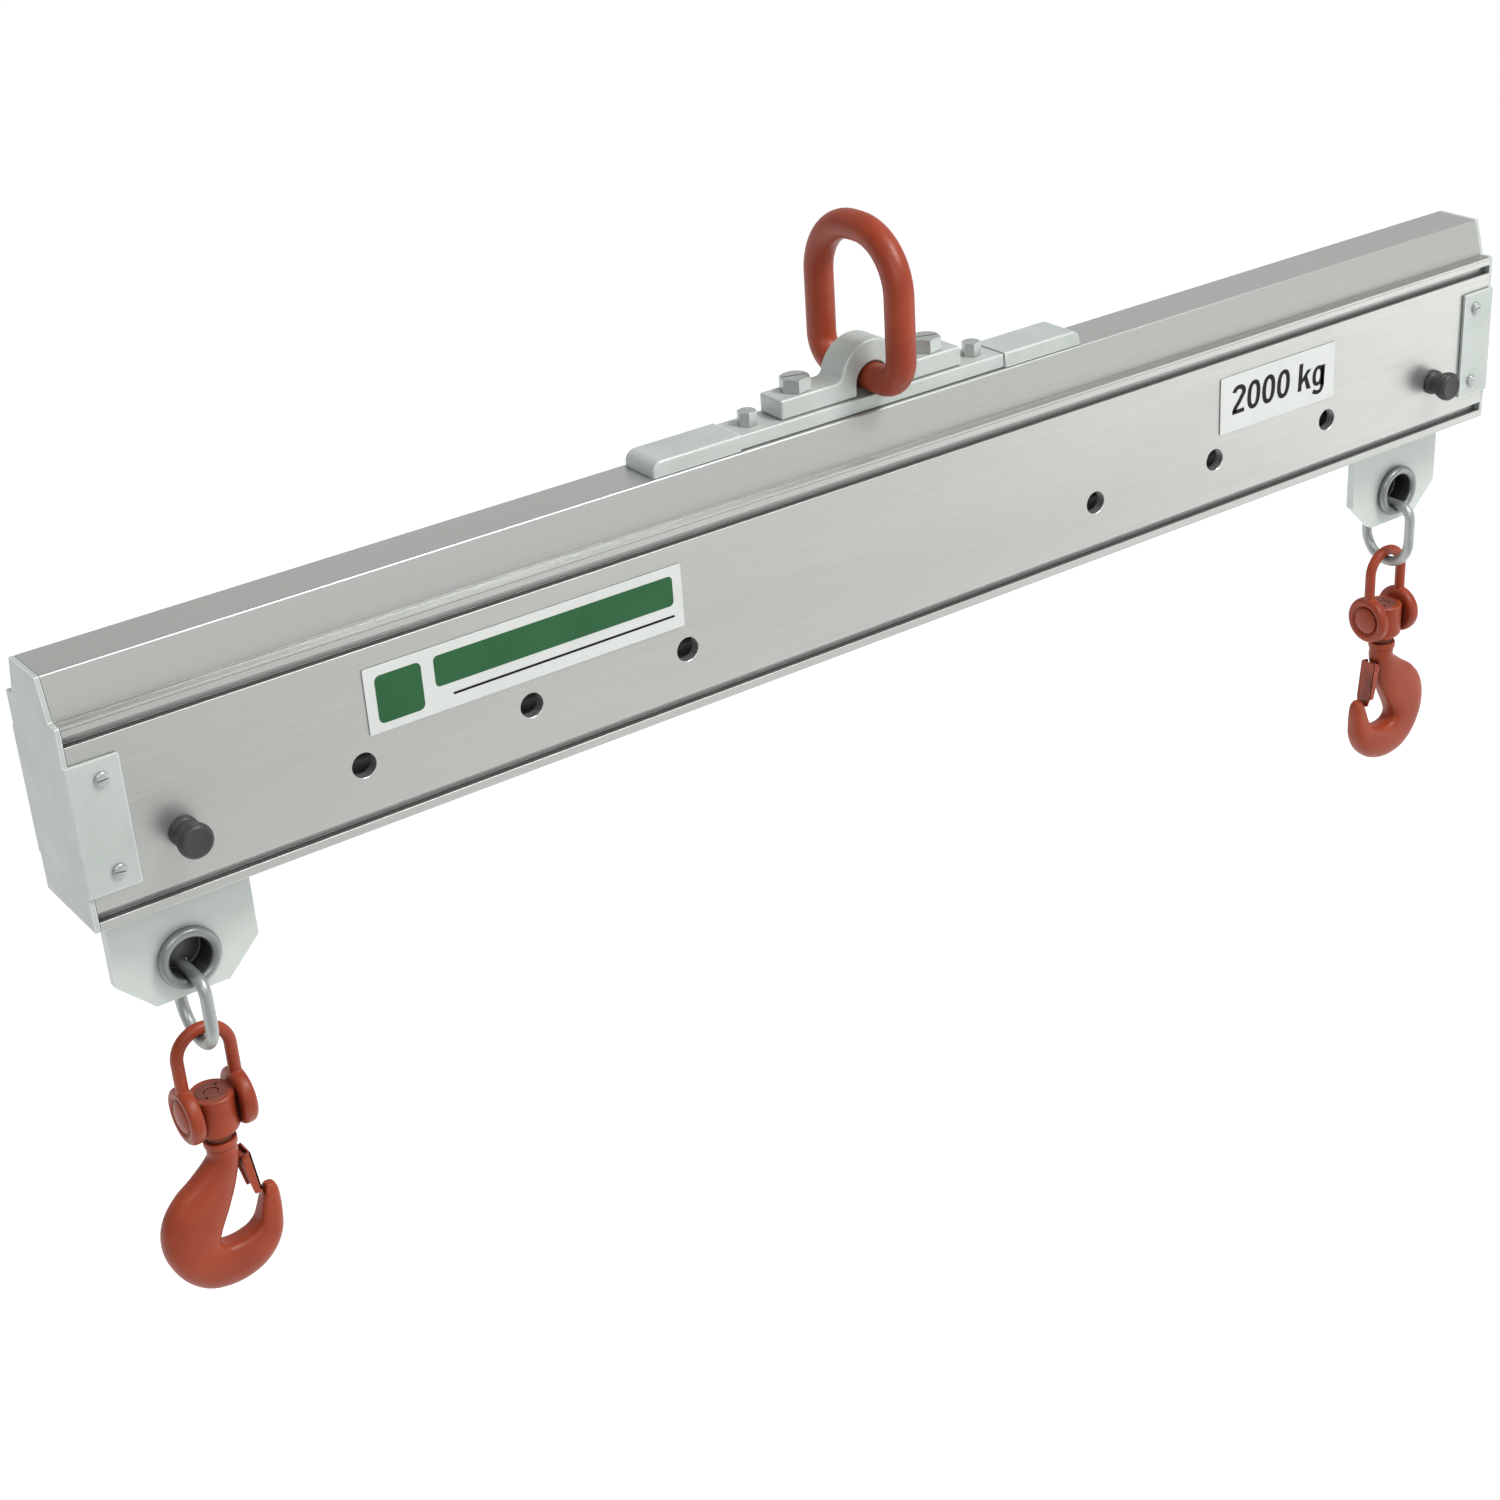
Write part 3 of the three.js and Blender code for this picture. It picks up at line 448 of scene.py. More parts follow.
def forge(work, voxel, passes, factor=0.5):
    """Melt the joints of a forging together: remesh evenly, then relax the surface."""
    remesh = work.modifiers.new("remesh", "REMESH")
    remesh.mode = "VOXEL"
    remesh.voxel_size = voxel
    settle(work)
    relax = work.modifiers.new("relax", "SMOOTH")
    relax.factor = factor
    relax.iterations = passes
    return settle(work)


def mirror_x(work):
    work.data.transform(Matrix.Scale(-1, 4, (1, 0, 0)))
    work.data.flip_normals()
    return work


def move(work, x=0.0, y=0.0, z=0.0):
    work.data.transform(Matrix.Translation((x, y, z)))
    return work


def extruded(outline, low, high, axis):
    """A flat outline pushed along x, y or z. The outline's two values follow the other axes."""
    bm = bmesh.new()

    def spot(u, v, w):
        return {"x": (w, u, v), "y": (u, w, v), "z": (u, v, w)}[axis]

    near = [bm.verts.new(spot(u, v, low)) for u, v in outline]
    far = [bm.verts.new(spot(u, v, high)) for u, v in outline]
    bm.faces.new(near)
    bm.faces.new(far)
    for i in range(len(outline)):
        j = (i + 1) % len(outline)
        bm.faces.new((near[i], near[j], far[j], far[i]))
    return solid(bm)


def block(x, y, z):
    """A box between two places on each axis."""
    return extruded([(x[0], y[0]), (x[1], y[0]), (x[1], y[1]), (x[0], y[1])], z[0], z[1], "z")


def turned(profile, axis="z", steps=64):
    """A turned solid. The profile is (radius, place along the axis), and ends on the axis or
    closes on itself."""
    bm = bmesh.new()
    rings = []
    for radius, along in profile:
        if radius < 1e-6:
            rings.append([bm.verts.new((0, 0, along))])
            continue
        rings.append([bm.verts.new((radius * math.cos(FULL_TURN * k / steps),
                                    radius * math.sin(FULL_TURN * k / steps), along))
                      for k in range(steps)])
    on_axis = len(rings[0]) == 1 and len(rings[-1]) == 1
    pairs = list(zip(rings, rings[1:])) + ([] if on_axis else [(rings[-1], rings[0])])
    for first, second in pairs:
        for k in range(steps):
            loop = [first[k % len(first)], first[(k + 1) % len(first)],
                    second[(k + 1) % len(second)], second[k % len(second)]]
            distinct = list(dict.fromkeys(loop))
            if len(distinct) > 2:
                bm.faces.new(distinct)
    work = solid(bm)
    if axis == "x":
        work.data.transform(Matrix.Rotation(math.pi / 2, 4, "Y"))
    if axis == "y":
        work.data.transform(Matrix.Rotation(-math.pi / 2, 4, "X"))
    return work


def lofted(rings, closed):
    """A skin over rings of points, open ones capped at their ends."""
    bm = bmesh.new()
    rows = [[bm.verts.new(point) for point in ring] for ring in rings]
    count = len(rows[0])
    following = rows[1:] + rows[:1] if closed else rows[1:]
    for near, far in zip(rows, following):
        for k in range(count):
            n = (k + 1) % count
            bm.faces.new((near[k], near[n], far[n], far[k]))
    if not closed:
        bm.faces.new(rows[0])
        bm.faces.new(rows[-1])
    return solid(bm)


def swept(path, radius, closed, steps=28, across=Vector((1, 0, 0))):
    """Round bar along a flat path; across is square to the path's plane."""
    rings = []
    count = len(path)
    for i, point in enumerate(path):
        before = path[i - 1] if closed or i else path[i]
        after = path[(i + 1) % count] if closed or i < count - 1 else path[i]
        outward = (after - before).normalized().cross(across).normalized()
        rings.append([point + radius * (math.cos(FULL_TURN * k / steps) * outward
                                        + math.sin(FULL_TURN * k / steps) * across)
                      for k in range(steps)])
    return lofted(rings, closed)


def rounded(points, radius, steps=4):
    """An outline with its corners rounded. A radius is one number, or one for each corner."""
    radii = radius if isinstance(radius, (list, tuple)) else [radius] * len(points)
    outline = []
    for i, corner in enumerate(points):
        here = Vector(corner)
        back = (Vector(points[i - 1]) - here).normalized()
        ahead = (Vector(points[(i + 1) % len(points)]) - here).normalized()
        half = math.acos(max(-1.0, min(1.0, back.dot(ahead)))) / 2
        if radii[i] <= 0 or half > math.radians(89):
            outline.append(tuple(here))
            continue
        reach = radii[i] / math.tan(half)
        middle = here + (back + ahead).normalized() * (radii[i] / math.sin(half))
        start = here + back * reach - middle
        end = here + ahead * reach - middle
        sweep = start.angle_signed(end)
        for k in range(steps + 1):
            turn = Matrix.Rotation(-sweep * k / steps, 2)
            outline.append(tuple(middle + turn @ start))
    return outline


def arc(middle, radius, start, end, steps):
    """Points on an arc, angles in degrees."""
    return [(middle[0] + radius * math.cos(math.radians(start + (end - start) * k / steps)),
             middle[1] + radius * math.sin(math.radians(start + (end - start) * k / steps)))
            for k in range(steps + 1)]


def hexagon(across_flats, turn=0.0):
    radius = across_flats / math.sqrt(3)
    return [(radius * math.cos(math.radians(60 * k + turn)),
             radius * math.sin(math.radians(60 * k + turn))) for k in range(6)]


def hand_over(work, name, body, node, material, smooth=32, flat_shaded=True):
    """Finish a piece: set it in the frame in metres, shade it, hang it on its body and hide the
    parts it stands for.
    """
    work.data.transform(Matrix.Translation((0, 0, UNDERSIDE)) @ Matrix.Scale(MM, 4))
    work.name = name
    work.data.name = name
    work.data.materials.clear()
    work.data.materials.append(material)
    work.data.polygons.foreach_set("use_smooth", [True] * len(work.data.polygons))
    work.data.set_sharp_from_angle(angle=math.radians(smooth))
    if flat_shaded:
        weighted = work.modifiers.new("flat faces", "WEIGHTED_NORMAL")
        weighted.keep_sharp = True
        weighted.weight = 100
        settle(work)
    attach(work, body)
    if node:
        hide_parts(*([node] if isinstance(node, str) else node))
    return work


# ---------------------------------------------------------------- more mesh helpers

def smooth_line(points, steps=6):
    """A smooth line through every point, of any size of vector."""
    vectors = [Vector(point) for point in points]
    line = []
    for i in range(len(vectors) - 1):
        start, end = vectors[i], vectors[i + 1]
        before = vectors[i - 1] if i else start * 2 - end
        after = vectors[i + 2] if i + 2 < len(vectors) else end * 2 - start
        for k in range(steps):
            t = k / steps
            line.append(0.5 * (2 * start + (end - before) * t
                               + (2 * before - 5 * start + 4 * end - after) * t ** 2
                               + (3 * start - before - 3 * end + after) * t ** 3))
    return line + [vectors[-1]]


def gather(works):
    """Several separate solids as one object, with no joining."""
    bm = bmesh.new()
    for work in works:
        bm.from_mesh(work.data)
        discard(work)
    return solid(bm)


def round_edges(work, width, chosen, segments=4):
    """Round only the sharp edges that a test on their two ends picks."""
    bm = bmesh.new()
    bm.from_mesh(work.data)
    picked = [edge for edge in bm.edges
              if edge.calc_face_angle(0) > math.radians(35) and chosen(*[v.co for v in edge.verts])]
    bmesh.ops.bevel(bm, geom=picked, offset=width, segments=segments, profile=0.5, affect="EDGES",
                    clamp_overlap=True)
    bm.to_mesh(work.data)
    bm.free()
    return work


def peg(axis, at, radius, low, high, steps=40):
    """A plain round cutter along an axis."""
    work = turned([(0, low), (radius, low), (radius, high), (0, high)], axis, steps)
    return move(work, *at)


# ---------------------------------------------------------------- rail

RAIL_HIGH = corners("beam_rail")[1]
HALF_RAIL = RAIL_HIGH.x
HALF_WEB = RAIL_HIGH.y
RAIL_TOP = RAIL_HIGH.z
ROOF = RAIL_TOP - 8.0
HOLE_PITCH = 150.0
HOLE_RADIUS = 10.5
END_SCREW_HOLE = 3.4
YOKE_BOLT_HOLE = 8.4
BASE_SCREW_HOLE = 4.4
PIN_X = pivot("right_ring_swing").x
PIN_HEIGHT = (corners("left_pin_shank")[0].z + corners("left_pin_shank")[1].z) / 2
YOKE_BOLT_X = corners("right_yoke_bolt")[0].x / 2 + corners("right_yoke_bolt")[1].x / 2
BASE_SCREW_X = corners("right_base_screw")[0].x / 2 + corners("right_base_screw")[1].x / 2
LINK_WIRE = 25.5
RING_WIRE = 10.3
EYE_HEIGHT = (corners("left_lug_bush")[0].z + corners("left_lug_bush")[1].z) / 2


def screw_place(level):
    low, high = corners(f"right_front_{level}_screw")
    return (low.x + high.x) / 2, (low.z + high.z) / 2


def rail_outline():
    """Half of the section: lips, side grooves, fine lines at the shoulder, and the head."""
    deep = HALF_WEB - 7
    outer = [((7, 0), 0.8), ((HALF_WEB, 0), 1.3), ((HALF_WEB, 8), 0.5), ((deep, 8), 0.5),
             ((deep, 16), 0.5), ((HALF_WEB, 16), 0.5), ((HALF_WEB, WEB_TOP - 16), 0.5),
             ((deep, WEB_TOP - 16), 0.5), ((deep, WEB_TOP - 8), 0.5),
             ((HALF_WEB, WEB_TOP - 8), 0.5), ((HALF_WEB, WEB_TOP - 2.9), 0),
             ((HALF_WEB - 0.6, WEB_TOP - 2.7), 0), ((HALF_WEB - 0.6, WEB_TOP - 2.3), 0),
             ((HALF_WEB, WEB_TOP - 2.1), 0), ((HALF_WEB, WEB_TOP), 0.8),
             ((38.4, WEB_TOP), 0), ((38.2, WEB_TOP - 0.7), 0), ((37.6, WEB_TOP - 0.7), 0),
             ((37.4, WEB_TOP), 0.2), ((33, WEB_TOP), 0.6), ((23.5, RAIL_TOP), 1.7)]
    inner = [((7, 10), 0.8), ((30, 10), 2), ((30, 22), 1), ((36, 28), 3), ((36, 139), 3),
             ((30, 145), 1), ((30, 157), 2), ((22, 160), 2), ((15, ROOF), 3)]
    return outer, inner


def rail():
    """One extrusion, drilled for the lock pins, the end screws and the yoke's bolts."""
    outer, inner = rail_outline()
    mirrored = [((-y, z), r) for (y, z), r in reversed(outer)]
    mirrored_inner = [((-y, z), r) for (y, z), r in inner]
    loop = outer + mirrored + mirrored_inner + list(reversed(inner))
    outline = rounded([point for point, _ in loop], [radius for _, radius in loop], 4)
    work = extruded(outline, -HALF_RAIL, HALF_RAIL, "x")
    edge = HALF_WEB + 1
    drill = [(0, -edge), (HOLE_RADIUS + 1.3, -edge), (HOLE_RADIUS, -edge + 1.3),
             (HOLE_RADIUS, edge - 1.3), (HOLE_RADIUS + 1.3, edge), (0, edge)]
    drills = []
    for _, side in SIDES:
        for place in range(4):
            x = side * (PIN_X - place * HOLE_PITCH)
            drills.append(move(turned(drill, "y", 72), x, 0, PIN_HEIGHT))
        for level in ("lower", "upper"):
            x, z = screw_place(level)
            drills.append(peg("y", (side * x, 0, z), END_SCREW_HOLE, -60, 60, 24))
        for x, radius in ((YOKE_BOLT_X, YOKE_BOLT_HOLE), (BASE_SCREW_X, BASE_SCREW_HOLE)):
            drills.append(peg("z", (side * x, 0, 0), radius, ROOF - 10, RAIL_TOP + 10))
    return cut(work, gather(drills))


hand_over(rail(), "rail", "beam", "beam_rail", ALUMINIUM, smooth=28)


# ---------------------------------------------------------------- end plates and their screws

def end_plate(node, side):
    """A flat cap with a strap that runs over it and ends in a tab on each face of the web."""
    low, high = corners(node)
    outer_x = high.x if side > 0 else -low.x
    inner_x = HALF_RAIL + 0.3
    tab_low, tab_high = 30.5, 136.5
    tab_x = low.x if side > 0 else -high.x
    half = [((HALF_WEB, 0), 1.5), ((HALF_WEB, WEB_TOP), 1.5), ((33, WEB_TOP), 1.5),
            ((23.5, RAIL_TOP), 1.5)]
    loop = half + [((-y, z), r) for (y, z), r in reversed(half)]
    outline = rounded([p for p, _ in loop], [r for _, r in loop], 3)
    plate = soften(extruded(outline, inner_x, outer_x, "x"), 0.5, 2, 60)
    out, inn = high.y, HALF_WEB + 0.3
    strap = [(tab_x, out), (outer_x, out), (outer_x, -out), (tab_x, -out), (tab_x, -inn),
             (inner_x + 0.02, -inn), (inner_x + 0.02, inn), (tab_x, inn)]
    radii = [0, 1.3, 1.3, 0, 0, 0.3, 0.3, 0]
    strap = extruded(rounded(strap, radii, 8), tab_low, tab_high, "z")
    strap = round_edges(strap, 1.6, lambda a, b: abs(a.x - b.x) < 0.1 and abs(a.z - b.z) < 0.1
                        and a.x < inner_x - 5, 3)
    strap = soften(strap, 0.4, 2, 60)
    work = join(plate, strap)
    drills = []
    for level in ("lower", "upper"):
        x, z = screw_place(level)
        drills.append(peg("y", (x, 0, z), END_SCREW_HOLE, -60, 60, 24))
    cut(work, gather(drills))
    return work if side > 0 else mirror_x(work)


def end_screw(node, turn):
    """A low domed slotted head on a plain shank."""
    low, high = corners(node)
    front = low.y < 0
    reach = -low.y if front else high.y
    seat = reach - 3.2
    dome = [(5.6 * math.cos(math.radians(a)) ** 0.6, seat + 1.6 + 1.6 * math.sin(math.radians(a)))
            for a in range(0, 90, 10)]
    profile = [(0, seat - 13), (2.4, seat - 13), (3, seat - 12), (3, seat), (5.5, seat),
               (5.6, seat + 0.2)] + dome + [(0, seat + 3.2)]
    work = turned(profile, "y", 48)
    slot = block((-6.5, 6.5), (seat + 1.7, seat + 5), (-0.7, 0.7))
    slot.data.transform(Matrix.Rotation(math.radians(turn), 4, "Y"))
    work = soften(cut(work, slot), 0.12, 2, 50)
    if front:
        work.data.transform(Matrix.Rotation(math.pi, 4, "Z"))
    return move(work, (low.x + high.x) / 2, 0, (low.z + high.z) / 2)


SLOT_TURNS = {"left_front_upper": 4, "left_front_lower": -8, "right_front_upper": 14,
              "right_front_lower": -14, "left_rear_upper": 25, "left_rear_lower": 80,
              "right_rear_upper": -55, "right_rear_lower": 12}

for side_name, side in SIDES:
    hand_over(end_plate(f"{side_name}_end_plate", side), f"{side_name}_end_cap", "beam",
              f"{side_name}_end_plate", ZINC)
for place, turn in SLOT_TURNS.items():
    hand_over(end_screw(f"{place}_screw", turn), f"{place}_end_screw", "beam", f"{place}_screw",
              BOLT)


# ---------------------------------------------------------------- plates on the web

def face_plate(node):
    """A thin plate with small round corners, on the front of the web."""
    low, high = corners(node)
    outline = rounded([(low.x, low.z), (high.x, low.z), (high.x, high.z), (low.x, high.z)], 1.2, 4)
    return soften(extruded(outline, low.y, high.y, "y"), 0.25, 2, 60)


def print_layer(outline, node):
    """A raised layer of print, just proud of its plate."""
    front = corners(node)[0].y
    return extruded(outline, front - 0.12, front + 0.05, "y")


def name_band():
    """A plain mark: a round-cornered square and a broad band."""
    low, high = corners("name_plate")
    square = [(low.x + 9, low.z + 7), (low.x + 49, low.z + 7), (low.x + 49, high.z - 8),
              (low.x + 9, high.z - 8)]
    band = [(low.x + 60, low.z + 21), (high.x - 9, low.z + 21), (high.x - 9, high.z - 8),
            (low.x + 60, high.z - 8)]
    return gather([print_layer(rounded(square, 5, 8), "name_plate"),
                   print_layer(rounded(band, 4, 8), "name_plate")])


def name_line():
    low, high = corners("name_plate")
    line = [(low.x + 74, low.z + 10.5), (high.x - 9, low.z + 10.5), (high.x - 9, low.z + 12.5),
            (low.x + 74, low.z + 12.5)]
    return print_layer(rounded(line, 0.9, 4), "name_plate")


def ribbon(line, width):
    """A flat stroke of even width along a line, as an outline."""
    points = [Vector(point) for point in line]
    left, right = [], []
    for i, point in enumerate(points):
        before = points[max(i - 1, 0)]
        after = points[min(i + 1, len(points) - 1)]
        along = (after - before).normalized()
        out = Vector((-along.y, along.x)) * width / 2
        left.append(point + out)
        right.append(point - out)
    return left + list(reversed(right))


def oval_band(middle, outer, inner):
    """A closed upright band between two squarish ovals, as its two halves."""
    def edge(half, start):
        line = []
        for k in range(25):
            angle = math.radians(start + 180 * k / 24)
            c, s = math.cos(angle), math.sin(angle)
            line.append(Vector((middle[0] + half[0] * math.copysign(abs(c) ** 0.86, c),
                                middle[1] + half[1] * math.copysign(abs(s) ** 0.86, s))))
        return line
    return [edge(outer, start) + list(reversed(edge(inner, start))) for start in (0, 180)]


def glyph_two():
    bowl = arc((4.9, 14.4), 3.7, 172, -42, 18)
    neck = smooth_line(bowl[-2:] + [(5.2, 7.6), (2.9, 4.4), (1.9, 1.3)], 5)
    top = ribbon([Vector(p) for p in bowl[:-2]] + neck, 3.0)
    foot = [(0.6, 0), (9.6, 0), (9.6, 2.8), (0.6, 2.8)]
    return [top, foot]


def glyph_k():
    return [[(0.6, 0), (3.5, 0), (3.5, 19.2), (0.6, 19.2)],
            [(3.3, 4.4), (3.3, 8.2), (7.2, 13.6), (10.4, 13.6)],
            [(4.8, 8.4), (7.0, 10.2), (10.9, 0), (7.6, 0)]]


def glyph_g():
    tail = smooth_line([(8.6, 4), (8.6, -1.2), (7.3, -4.2), (4.4, -4.5), (1.6, -3.0)], 6)
    return oval_band((4.9, 7.0), (4.4, 7.0), (1.7, 4.5)) + [
        [(7.2, -0.6), (10.0, -0.6), (10.0, 13.6), (7.2, 13.6)], ribbon(tail, 2.8)]


def capacity_text():
    """The load in kilograms: bold, narrow figures as one thin raised layer."""
    low = corners("capacity_plate")[0]
    zero = oval_band((5.4, 9.6), (4.9, 9.8), (2.0, 6.9))
    line = [(glyph_two(), 0), (zero, 11.0), (zero, 22.4), (zero, 33.8), (glyph_k(), 50.4),
            (glyph_g(), 61.6)]
    tall, wide, lean = 1.42, 1.72, 0.05
    parts = []
    for outlines, shift in line:
        for outline in outlines:
            placed = [(low.x + 14 + (x + shift) * wide + z * tall * lean, low.z + 16.5 + z * tall)
                      for x, z in outline]
            parts.append(print_layer(placed, "capacity_plate"))
    return gather(parts)


for name in ("name_plate", "capacity_plate"):
    hand_over(face_plate(name), f"{name}_film", "beam", name, LABEL)
hand_over(name_band(), "name_plate_band", "beam", None, GREEN)
hand_over(name_line(), "name_plate_line", "beam", None, INK)
hand_over(capacity_text(), "capacity_lettering", "beam", None, INK)


# ---------------------------------------------------------------- yoke, bar, pads and bolts

def bolt_drills(low, high):
    """Cutters for the yoke's bolts and the bar's screws."""
    return gather([peg("z", (side * x, 0, 0), radius, low, high)
                   for _, side in SIDES
                   for x, radius in ((YOKE_BOLT_X, YOKE_BOLT_HOLE),
                                     (BASE_SCREW_X, BASE_SCREW_HOLE))])


def base_bar():
    low, high = corners("base_bar")
    work = soften(block((low.x, high.x), (low.y, high.y), (low.z, high.z)), 0.9, 3)
    return cut(work, bolt_drills(low.z - 5, high.z + 5))


def base_pad(node, side):
    """A cast pad: quarter-round outer end, soft upper edges, square inner end."""
    low, high = corners(node)
    near = low.x if side > 0 else -high.x
    far = high.x if side > 0 else -low.x
    crown = 10.0
    outline = [(near, low.z), (far, low.z)]
    outline += arc((far - crown, high.z - crown), crown, 0, 90, 12) + [(near, high.z)]
    work = extruded(outline, low.y, high.y, "y")

    def upper(a, b):
        return max(a.z, b.z) > low.z + 0.1 and abs(a.y - b.y) < 0.1

    work = round_edges(work, 2.6, upper, 5)
    return work if side > 0 else mirror_x(work)


def yoke():
    """An arch over the link's bar, blended into two flat feet."""
    low, high = corners("yoke")
    foot_top = low.z + 17
    arch_radius = 33.0
    arch_middle = high.z - arch_radius
    opening, clearance = 17.0, 27.2
    spring = low.z + clearance - opening
    flare = 7.0
    touch = math.degrees(math.asin((foot_top + flare - arch_middle) / (arch_radius + flare)))
    foot_x = (arch_radius + flare) * math.cos(math.radians(touch))
    outline = [(low.x, low.z), (-opening, low.z)]
    outline += arc((0, spring), opening, 180, 0, 28)
    outline += [(opening, low.z), (high.x, low.z), (high.x, foot_top)]
    outline += arc((foot_x, foot_top + flare), flare, 270, 180 + touch, 10)
    outline += arc((0, arch_middle), arch_radius, touch, 180 - touch, 48)[1:-1]
    outline += arc((-foot_x, foot_top + flare), flare, 360 - touch, 270, 10)
    outline += [(low.x, foot_top)]
    work = extruded(outline, low.y, high.y, "y")
    work = soften(work, 2.0, 5, 35)
    return cut(work, bolt_drills(low.z - 5, foot_top + 20))


def hex_piece(across_flats, low, high, turn=0.0, both_ends=False):
    """A hexagon with the round chamfer that turning gives it."""
    corner = across_flats / math.sqrt(3) + 0.1
    flat = across_flats / 2 * 0.96
    drop = (corner - flat) * 0.5
    profile = [(0, low)]
    profile += [(flat, low), (corner, low + drop)] if both_ends else [(corner, low)]
    profile += [(corner, high - drop), (flat, high), (0, high)]
    prism = extruded(hexagon(across_flats, turn), low, high, "z")
    return combine(prism, turned(profile, "z", 96), "INTERSECT")


def hex_bolt(node, across_flats, head_height, radius, slot_turn=None):
    low, high = corners(node)
    seat = high.z - head_height
    head = hex_piece(across_flats, seat, high.z, 8)
    shank = turned([(0, low.z), (radius - 1, low.z), (radius, low.z + 1), (radius, seat + 1),
                    (0, seat + 1)], "z", 40)
    if slot_turn is not None:
        slot = block((-20, 20), (-1.4, 1.4), (high.z - 2.4, high.z + 2))
        slot.data.transform(Matrix.Rotation(math.radians(slot_turn), 4, "Z"))
        cut(head, slot)
    soften(head, 0.25, 2, 35)
    return move(join(head, shank), (low.x + high.x) / 2, 0, 0)


def roof_nut(node, radius):
    low, high = corners(node)
    across_flats = high.y - low.y
    work = hex_piece(across_flats, low.z, high.z, 0, both_ends=True)
    cut(work, peg("z", (0, 0, 0), radius + 0.4, low.z - 1, high.z + 1))
    return move(soften(work, 0.2, 2, 45), (low.x + high.x) / 2, 0, 0)


hand_over(base_bar(), "suspension_bar", "beam", "base_bar", ZINC)
hand_over(yoke(), "suspension_yoke", "beam", "yoke", ZINC, smooth=38)
for side_name, side in SIDES:
    hand_over(base_pad(f"{side_name}_base_pad", side), f"{side_name}_pad", "beam",
              f"{side_name}_base_pad", ZINC, smooth=38)
    hand_over(hex_bolt(f"{side_name}_yoke_bolt", 24, 12, 8, slot_turn=-20),
              f"{side_name}_slotted_bolt", "beam", f"{side_name}_yoke_bolt", BOLT)
    hand_over(hex_bolt(f"{side_name}_base_screw", 15, 12, 4), f"{side_name}_hex_screw", "beam",
              f"{side_name}_base_screw", BOLT)
    hand_over(roof_nut(f"{side_name}_yoke_nut", 8), f"{side_name}_large_nut", "beam",
              f"{side_name}_yoke_nut", BOLT)
    hand_over(roof_nut(f"{side_name}_base_nut", 4), f"{side_name}_small_nut", "beam",
              f"{side_name}_base_nut", BOLT)


# ---------------------------------------------------------------- wire links

def oval_path(node, wire, top_radius, bottom_radius, steps=20):
    """The middle line of an oval link in the plane across the beam."""
    low, high = corners(node)
    x = (low.x + high.x) / 2
    half = high.y - wire / 2
    top, bottom = high.z - wire / 2, low.z + wire / 2
    outline = arc((half - top_radius, top - top_radius), top_radius, 0, 90, steps)
    outline += arc((top_radius - half, top - top_radius), top_radius, 90, 180, steps)
    outline += arc((bottom_radius - half, bottom + bottom_radius), bottom_radius, 180, 270, steps)
    outline += arc((half - bottom_radius, bottom + bottom_radius), bottom_radius, 270, 360, steps)
    path = []
    for y, z in outline:
        if not path or (path[-1] - Vector((x, y, z))).length > 0.05:
            path.append(Vector((x, y, z)))
    if (path[0] - path[-1]).length < 0.05:
        path.pop()
    return path


master = swept(oval_path("master_link", LINK_WIRE, 50, 24, 28), LINK_WIRE / 2, True, 48)
hand_over(master, "forged_link", "master_link", "master_link", ORANGE,
          flat_shaded=False)
for side_name, _ in SIDES:
    path = oval_path(f"{side_name}_ring", RING_WIRE, 12.8, 27.8, 20)
    hand_over(swept(path, RING_WIRE / 2, True, 32), f"{side_name}_wire_ring", f"{side_name}_ring",
              f"{side_name}_ring", RING, flat_shaded=False)


# ---------------------------------------------------------------- lugs, bushes and pins

def lug(node):
    """A plate with cut lower corners, and the runner that slides in the rail's track."""
    low, high = corners(node)
    x = (low.x + high.x) / 2
    half, chamfer, thick = high.x - x, 29.0, 5.0
    outline = [(-half + chamfer, low.z), (half - chamfer, low.z), (half, low.z + chamfer),
               (half, high.z), (-half, high.z), (-half, low.z + chamfer)]
    plate = soften(extruded(rounded(outline, 1.0, 3), -thick, thick, "y"), 0.7, 3, 60)
    runner_low, runner_high, eye_radius = 11.5, 20, 22.5
    runner = soften(block((-half, half), (low.y, high.y), (runner_low, runner_high)), 0.8, 2)
    eye = peg("y", (0, 0, EYE_HEIGHT), eye_radius, -30, 30, 72)
    pin_hole = peg("y", (0, 0, PIN_HEIGHT), HOLE_RADIUS, -30, 30, 48)
    return move(cut(join(plate, runner), gather([eye, pin_hole])), x, 0, 0)


def lug_bush(node):
    """A cup with a fat rolled lip on both faces of the lug, and a saddle cut for the ring."""
    low, high = corners(node)
    bore, reach, face = 17.5, high.y, 5.3
    lip, centre = 4.3, 21.8
    profile = [(0, 10.5), (bore - 1, 10.5)] + arc((bore - 1, 9.5), 1, 90, 0, 4)
    profile += arc((centre, lip - reach), lip, 180, 360, 20)
    profile += [(25.6, -7.0), (24.9, -face), (22, -face), (22, face), (24.9, face), (25.6, 7.0)]
    profile += arc((centre, reach - lip), lip, 0, 90, 12) + [(0, reach)]
    work = turned(profile, "y", 96)
    seat = pivot("right_ring_swing").z - EYE_HEIGHT
    seat_radius = RING_WIRE / 2 + 0.35
    saddle = arc((0, seat), seat_radius, 180, 360, 24)
    saddle += [(seat_radius + 1.2, 5 - bore), (-seat_radius - 1.2, 5 - bore)]
    cut(work, extruded(saddle, -20, 9, "y"))
    cut(work, peg("y", (0, 0, seat), seat_radius, 8, 20, 48))
    return move(soften(work, 0.3, 2, 60), (low.x + high.x) / 2, 0, EYE_HEIGHT)


